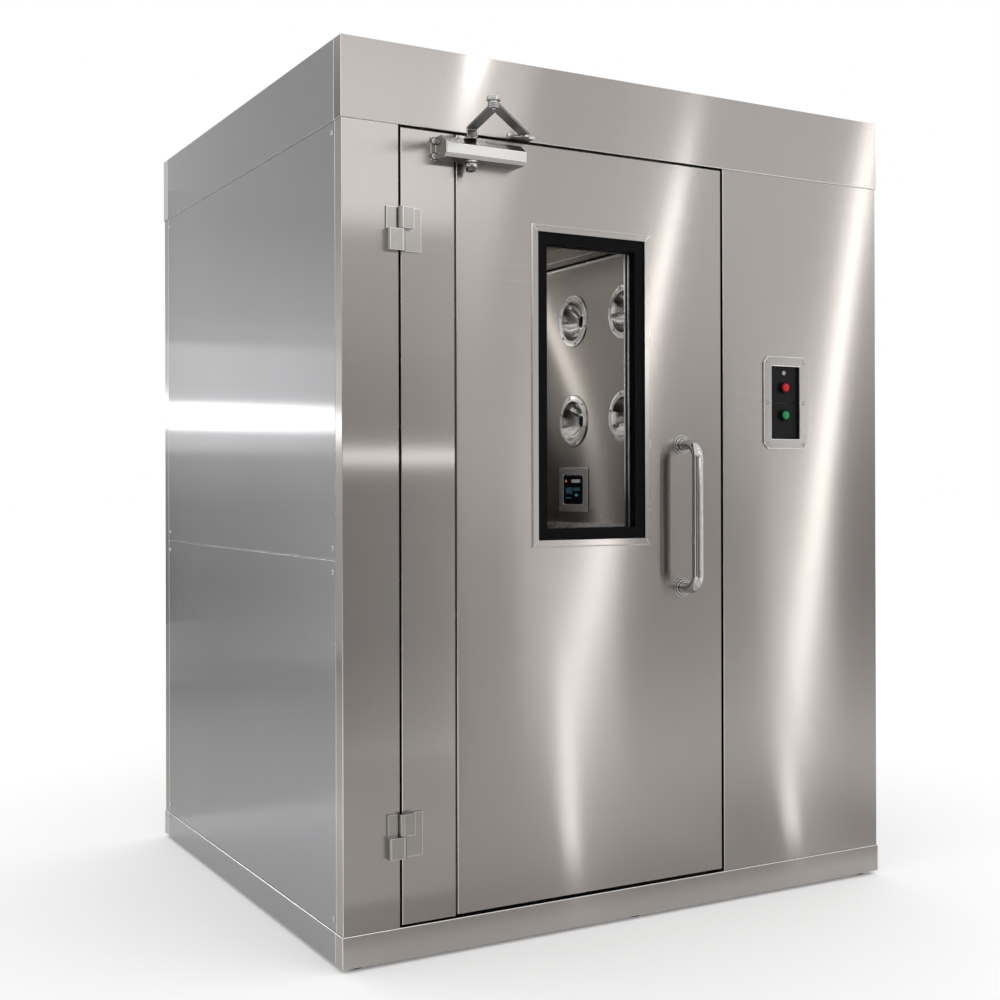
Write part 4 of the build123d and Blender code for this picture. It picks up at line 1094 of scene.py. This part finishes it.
# %% Control frame, plates, screws and lock
finished(softened_copy("control_frame", "control_frame_soft", 0.0018, frame_steel, painted_highlight_steel), "root",
         None, ["control_frame"])
finished(softened_copy("control_plates", "control_plates_soft", 0.0010, black_plastic), "root",
         None, ["control_plates"])
frame_low, frame_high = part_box("control_frame")
INSET = 0.0130
frame_screw_places = [(x, frame_low.y, z) for x in (frame_low.x + INSET, frame_high.x - INSET)
                      for z in (frame_low.z + INSET, (frame_low.z + frame_high.z) / 2, frame_high.z - INSET)]
finished(copies_at(small_shadow_ring, "control_screw_shadow_rings", frame_screw_places, "front"), "root",
         dull_steel_and_painted_shade)
finished(copies_at(small_screw, "control_frame_screws", frame_screw_places, "front"), "root",
         screw_steel)
lock = master("lock", [(0.0066, -0.0010), (0.0066, 0.0022), (0.0060, 0.0030), (0.0048, 0.0030),
                       (0.0042, 0.0018), (0.0034, 0.0018), (0.0030, 0.0026), (0.0010, 0.0028)], 24)
lock_place = (lamp_x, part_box("control_plates")[0].y + 0.010, frame_high.z - 0.045)
finished(copies_at(lock, "control_lock", [lock_place], "front"), "root", hinge_steel)

# %% [markdown]
# ## Plate of the chamber controller
# Inside the chamber a small screen in a steel plate shows the state of the blower. Eight screws
# hold it: four at the corners of the plate and four at the corners of the screen. The screws and
# the rounded edges of the plate are in light steel as painted highlights.

# %% Controller plate and its screws
finished(softened_copy("controller_frame", "controller_plate", 0.0014, satin_metal, painted_highlight_steel), "root",
         None, ["controller_frame"])
plate_low, plate_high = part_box("controller_frame")
screen_low, screen_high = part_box("controller_screen")
CORNER = 0.010
plate_screw_places = [(plate_low.x, y, z) for y in (plate_low.y + CORNER, plate_high.y - CORNER)
                      for z in (plate_low.z + CORNER, plate_high.z - CORNER)]
plate_screw_places += [(screen_low.x, y, z) for y in (screen_low.y, screen_high.y)
                       for z in (screen_low.z, screen_high.z)]
finished(copies_at(small_screw, "controller_screws", plate_screw_places, "left"), "root",
         painted_highlight_steel)

# %% [markdown]
# ## The lit display
# The glass of the screen is black, and the glowing shapes on it are thin plates: a dot, a block
# and bars with no lettering. They are laid just proud of the glass so that they stay sharp from
# any side.

# %% Glowing shapes on the screen
PROUD, LET_IN = 0.0004, 0.0002


def glow(name, colour, strength):
    """A lit display colour with a faint unevenness."""
    material, shader = plain_finish(name, tuple(0.6 * c for c in colour), colour, (0.2, 0.3), scale=300.0)
    return glowing(material, shader, colour, strength)


def display_shape(name, boxes, material):
    """Thin plates on the screen; each box is (left, right, bottom, top) as shares of the screen."""
    wide = screen_high.y - screen_low.y
    tall = screen_high.z - screen_low.z
    plates = []
    for left, right, bottom, top in boxes:
        low = (screen_low.x - PROUD, screen_high.y - right * wide, screen_low.z + bottom * tall)
        high = (screen_low.x + LET_IN, screen_high.y - left * wide, screen_low.z + top * tall)
        plates.append(bar("plate", low, high, 0.0002))
    finished(joined(name, plates), "root", material)


display_shape("display_dot", [(0.09, 0.17, 0.76, 0.85)], glow("orange_glow", (0.75, 0.20, 0.03), 0.35))
display_shape("display_block", [(0.42, 0.86, 0.75, 0.86)], glow("white_glow", (0.45, 0.47, 0.48), 0.2))
display_shape("display_bars", [(0.12, 0.46, 0.36, 0.58), (0.52, 0.86, 0.46, 0.58)],
              glow("teal_glow", (0.01, 0.06, 0.09), 0.3))
display_shape("display_marks", [(0.60, 0.74, 0.28, 0.36), (0.14, 0.17, 0.20, 0.24), (0.24, 0.27, 0.20, 0.24),
                                (0.34, 0.37, 0.20, 0.24)], glow("cyan_glow", (0.03, 0.30, 0.40), 0.3))

# %% [markdown]
# ## The masters go
# The masters that were copied have done their work. They are removed, so that only finished
# pieces stay in the file.

# %% Remove the masters
print(len(masters), "masters to remove")
only(*masters)
bpy.ops.object.delete()

# %% [markdown]
# ## Floor
# The cabinet stands on a pale studio floor. It is wide enough that its edge never shows, and it
# is there for the soft shadow round the plinth. A trace of emission lifts it to the white of the
# picture. Only the camera, mirrors and the pane see that trace, so it lights nothing.

# %% A pale floor
FLOOR_LIFT = 0.10
floor_material, floor_tree, floor_shader = new_material("studio_floor")
floor_tone = link_noise(floor_tree, 0.5, 2.0)
seen = add_node(floor_tree, "LightPath", {}, "Is Camera Ray")
for ray in ("Is Glossy Ray", "Is Transmission Ray"):
    other = add_node(floor_tree, "LightPath", {}, ray)
    seen = add_node(floor_tree, "Math", {0: seen, 1: other}, operation="MAXIMUM")
plug(floor_tree, floor_shader, {
    "Base Color": colour_between(floor_tree, floor_tone, (0.955, 0.955, 0.955), (0.975, 0.975, 0.975)),
    "Roughness": 0.9,
    "Specular IOR Level": 0.1,
    "Emission Color": (1.0, 1.0, 1.0, 1.0),
    "Emission Strength": add_node(floor_tree, "Math", {0: seen, 1: FLOOR_LIFT}, operation="MULTIPLY"),
})
bpy.ops.object.select_all(action="DESELECT")
bpy.ops.mesh.primitive_plane_add(size=60, location=(0, 0, 0))
floor = bpy.context.active_object
floor.name = "studio_floor"
floor.data.materials.append(floor_material)
print("floor", tuple(floor.dimensions))

# %% [markdown]
# ## World and strip lamps
# Steel shows its surroundings more than its own colour. The world is plain white, which the metal
# mirrors as its own even tone. A strip lamp is a thin area lamp between two points. Its power is
# given for each square metre, so a longer strip needs no new number. The lamps themselves are
# hidden from the camera, also where it looks through a pane.

# %% The world and a maker of strip lamps
world = bpy.data.worlds.new("studio_world")
bpy.context.scene.world = world
world.use_nodes = True
world.node_tree.nodes["Background"].inputs["Color"].default_value = (1.0, 1.0, 1.0, 1.0)
world.node_tree.nodes["Background"].inputs["Strength"].default_value = 1.0


def strip_lamp(name, start, end, facing, wide, level):
    """A thin area lamp from start to end; level is its power in watts per square metre."""
    start, end = Vector(start), Vector(end)
    middle = (start + end) / 2
    along = (end - start).normalized()
    out = (Vector(facing) - middle).normalized()
    across = along.cross(out).normalized()
    out = across.cross(along)
    bpy.ops.object.light_add(type="AREA", location=middle)
    lamp = bpy.context.active_object
    lamp.name = name
    lamp.data.shape = "RECTANGLE"
    lamp.data.size = wide
    lamp.data.size_y = (end - start).length
    lamp.data.energy = level * wide * (end - start).length
    lamp.rotation_euler = Matrix((-across, along, -out)).transposed().to_euler()
    lamp.visible_camera = False
    lamp.visible_transmission = False


print("world strength", world.node_tree.nodes["Background"].inputs["Strength"].default_value)

# %% [markdown]
# ## Strips in front and at the side
# The strips stand where the eye, mirrored in a sheet, would look at them. On the brushed front a
# strip becomes an upright streak, and on the side sheets it becomes a level band. Two strips lean
# in front of the cabinet, and each goes on along the floor towards it, so that the streak runs
# down the whole height of a sheet. A level strip crosses the post and the door, a soft box lights
# the upper part of the front, and one short strong strip marks the header.

# %% Lamps for the front and the side
DOORWAY = (0.0, -0.73, 1.2)
strip_lamp("panel_strip", (2.50, -3.0, 0.05), (3.10, -3.0, 3.20), DOORWAY, 0.03, 32)
strip_lamp("panel_floor_strip", (2.40, -2.90, 0.03), (0.82, -1.08, 0.03), (1.4, -2.0, 3.0), 0.05, 6)
strip_lamp("door_strip", (1.17, -3.0, 0.05), (1.87, -3.0, 2.62), DOORWAY, 0.03, 29)
strip_lamp("door_floor_strip", (1.16, -2.90, 0.03), (0.10, -1.22, 0.03), (0.5, -2.0, 3.0), 0.05, 6)
strip_lamp("level_strip", (-0.35, -3.0, 1.24), (1.00, -3.0, 1.24), DOORWAY, 0.05, 9)
strip_lamp("top_softbox", (-0.30, -3.0, 2.58), (0.95, -3.0, 2.58), DOORWAY, 0.8, 2.6)
strip_lamp("header_strip", (0.22, -1.98, 2.74), (0.35, -1.98, 3.05), (-0.46, -0.73, 2.07), 0.05, 90)
strip_lamp("side_strip", (-1.5, 3.7, 1.50), (-2.8, 3.7, 1.50), (-0.83, 0.0, 1.3), 0.14, 16)
strip_lamp("side_glow", (-1.5, 3.72, 1.60), (-2.8, 3.72, 1.60), (-0.83, 0.0, 1.3), 0.60, 1.6)

# %% [markdown]
# ## Light in the chamber
# A real chamber has a lamp in its ceiling. Here a broad weak one lights the room, and thin strips
# beside and behind it stand where the dishes mirror them, which draws the wedges of light on the
# nozzles. The glow at the back gives the lining a tone that fades from the exit to the entry, and
# one upright strip lights the steel of the window's reveal.

# %% Lamps inside the chamber
strip_lamp("chamber_light", (-0.205, -0.4, 1.80), (-0.205, 0.4, 1.80), (-0.205, 0.0, 0.0), 0.3, 2.0)
strip_lamp("chamber_strip_left", (-0.50, -0.55, 1.80), (-0.50, 0.55, 1.80), (-0.40, 0.0, 0.0), 0.02, 13)
strip_lamp("chamber_strip_right", (0.06, -0.55, 1.80), (0.06, 0.55, 1.80), (0.03, 0.0, 0.0), 0.02, 10)
strip_lamp("chamber_back_high", (0.03, 0.60, 1.79), (-0.16, 0.60, 1.40), (0.26, -0.2, 1.4), 0.04, 7)
strip_lamp("chamber_back_low", (-0.16, 0.60, 1.40), (-0.28, 0.60, 0.80), (0.26, -0.2, 1.4), 0.05, 2)
strip_lamp("chamber_back_glow", (-0.15, 0.62, 1.78), (-0.22, 0.62, 1.30), (0.26, -0.2, 1.7), 0.60, 1.2)
strip_lamp("reveal_strip", (-0.64, 0.235, 0.95), (-0.64, 0.235, 1.75), (0.0, -0.68, 1.35), 0.14, 5)
strip_lamp("chamber_low_strip", (-0.55, 0.20, 0.60), (-0.35, 0.60, 0.60), (0.26, 0.0, 1.4), 0.03, 16)
strip_lamp("chamber_side_strip", (-0.64, -0.60, 1.30), (-0.64, -0.60, 1.70), (0.26, 0.0, 1.4), 0.02, 10)

# %% [markdown]
# ## Dark cards
# Steel under an all-white sky looks flat, because it has nothing to mirror. A photographer
# stands dark cards beside the camera, and they give the metal its deeper tones. The cards here
# are seen only in reflections: neither the camera nor the floor's shade knows of them.

# %% A maker of card finishes
def card_finish(name, axis, stops):
    """A matt card that fades along an axis; each stop is (place in metres, tone)."""
    material, tree, shader = new_material(name)
    first, last = stops[0][0], stops[-1][0]
    spot = add_node(tree, "TexCoord", {}, "Object")
    along = add_node(tree, "SeparateXYZ", {"Vector": spot}, axis)
    share = add_node(tree, "MapRange", {"Value": along, "From Min": first, "From Max": last}, "Result")
    ramp = tree.nodes.new("ShaderNodeValToRGB")
    tree.links.new(share, ramp.inputs["Fac"])
    for place, tone in stops[1:-1]:
        ramp.color_ramp.elements.new((place - first) / (last - first))
    for element, (place, tone) in zip(ramp.color_ramp.elements, stops):
        element.color = (tone, 0.98 * tone, 0.96 * tone, 1.0)
    plug(tree, shader, {"Base Color": ramp.outputs["Color"], "Roughness": 0.9, "Specular IOR Level": 0.1})
    return material


charcoal = card_finish("charcoal_card", "Z", [(0.0, 0.18), (3.0, 0.16)])
post_fade = card_finish("post_card", "Z", [(0.0, 0.52), (0.5, 0.38), (1.16, 0.46), (1.32, 0.60),
                                          (1.75, 0.70), (2.20, 0.90)])
door_fade = card_finish("door_card", "Z", [(0.0, 0.78), (0.5, 0.62), (1.1, 0.66), (1.9, 0.95)])
middle_fade = card_finish("middle_card", "Z", [(0.0, 0.66), (0.5, 0.50), (1.1, 0.52), (1.9, 0.95)])
low_fade = card_finish("low_card", "Z", [(0.0, 0.52), (0.5, 0.34), (1.1, 0.40), (1.9, 0.95)])
top_fade = card_finish("side_top_card", "Z", [(2.1, 0.90), (2.7, 0.42), (3.8, 0.30)])
side_fade = card_finish("side_card", "Z", [(0.0, 0.38), (0.55, 0.22), (1.0, 0.40), (1.35, 0.85)])
floor_fade = card_finish("floor_card", "Y", [(-3.1, 0.52), (-1.15, 0.86)])
side_floor_fade = card_finish("side_floor_card", "Y", [(0.9, 0.85), (4.2, 0.40)])
print([material.name for material in bpy.data.materials if material.name.endswith("_card")])

# %% [markdown]
# ## Cards in their places
# The cards in front give each sheet its own tone, and they fade upwards, as the sheets do in the
# picture. The ones on the floor darken the foot of the sheets. A card behind the cabinet is the
# only one that is seen through the panes: it is the dark room behind the exit.

# %% Cards that only reflections see
def studio_card(name, finish, place, target, wide, tall):
    """A card at a place, facing a target, that only mirrors and gloss can see."""
    bpy.ops.object.select_all(action="DESELECT")
    bpy.ops.mesh.primitive_plane_add(size=1, location=place)
    card = bpy.context.active_object
    card.name = name
    card.scale = (wide, tall, 1)
    direction = Vector(target) - Vector(place)
    card.rotation_euler = direction.to_track_quat("-Z", "Y").to_euler()
    bpy.ops.object.transform_apply(location=True, rotation=True, scale=True)
    card.data.materials.append(finish)
    card.visible_camera = False
    card.visible_diffuse = False
    card.visible_shadow = False
    card.visible_transmission = False
    return card


def front_card(name, finish, left, right, bottom, top, far=3.1):
    """A card that stands upright in front of the cabinet."""
    middle, height = (left + right) / 2, (bottom + top) / 2
    studio_card(name, finish, (middle, -far, height), (middle, 0.0, height), right - left, top - bottom)


front_card("card_left", charcoal, -1.92, -0.40, 0.15, 1.65)
front_card("card_post", post_fade, -0.60, 0.70, 0.02, 2.20)
front_card("card_door", door_fade, 0.70, 1.14, 0.02, 1.70, 3.3)
front_card("card_middle", middle_fade, 1.56, 2.20, 0.02, 1.60)
front_card("card_panel", middle_fade, 2.20, 2.60, 0.02, 1.20, 3.3)
front_card("card_right", low_fade, 2.88, 4.10, 0.02, 1.90)
front_card("card_header", low_fade, 1.10, 1.60, 2.60, 3.40)
studio_card("card_far_left", charcoal, (-4.3, -3.0, 1.2), (-0.8, -0.8, 1.2), 3.0, 2.2)
studio_card("card_side", side_fade, (-2.3, 4.2, 0.68), (-2.3, 0.0, 0.68), 1.5, 1.34)
studio_card("card_side_floor", side_floor_fade, (-2.1, 2.5, 0.02), (-2.1, 2.5, 1.0), 2.4, 3.3)
studio_card("card_side_top", top_fade, (-2.9, 4.2, 3.0), (-2.9, 0.0, 3.0), 1.3, 1.8)
studio_card("card_under", low_fade, (0.6, -1.38, 0.015), (0.6, -1.38, 1.0), 1.8, 0.8)
studio_card("card_floor", floor_fade, (-0.45, -2.1, 0.02), (-0.45, -2.1, 1.0), 2.3, 1.9)
exit_card = studio_card("card_exit", charcoal, (-0.15, 1.10, 1.40), (-0.15, 0.0, 1.40), 1.5, 1.5)
exit_card.visible_transmission = True
studio_card("card_low", middle_fade, (-0.25, -0.99, 0.02), (-0.25, -0.99, 1.0), 2.6, 0.30)

# %% [markdown]
# ## Camera
# The picture was taken from the hinge side with the camera level, a little under half the
# height of the cabinet. A level camera keeps the uprights parallel, and the small shift
# puts the horizon where it belongs in the frame.

# %% The camera
CAMERA_PLACE = (-2.0709, -3.6740, 1.1221)
CAMERA_TURN = (radians(90.084), radians(0.145), radians(-29.35))
bpy.ops.object.camera_add(location=CAMERA_PLACE, rotation=CAMERA_TURN)
camera = bpy.context.active_object
camera.name = "product_camera"
camera.data.sensor_width = 36.0
camera.data.lens = 49.87
camera.data.shift_y = -0.017
camera.data.dof.use_dof = False
bpy.context.scene.camera = camera
bpy.context.scene.view_settings.view_transform = "Standard"
print("lens", camera.data.lens, "mm")
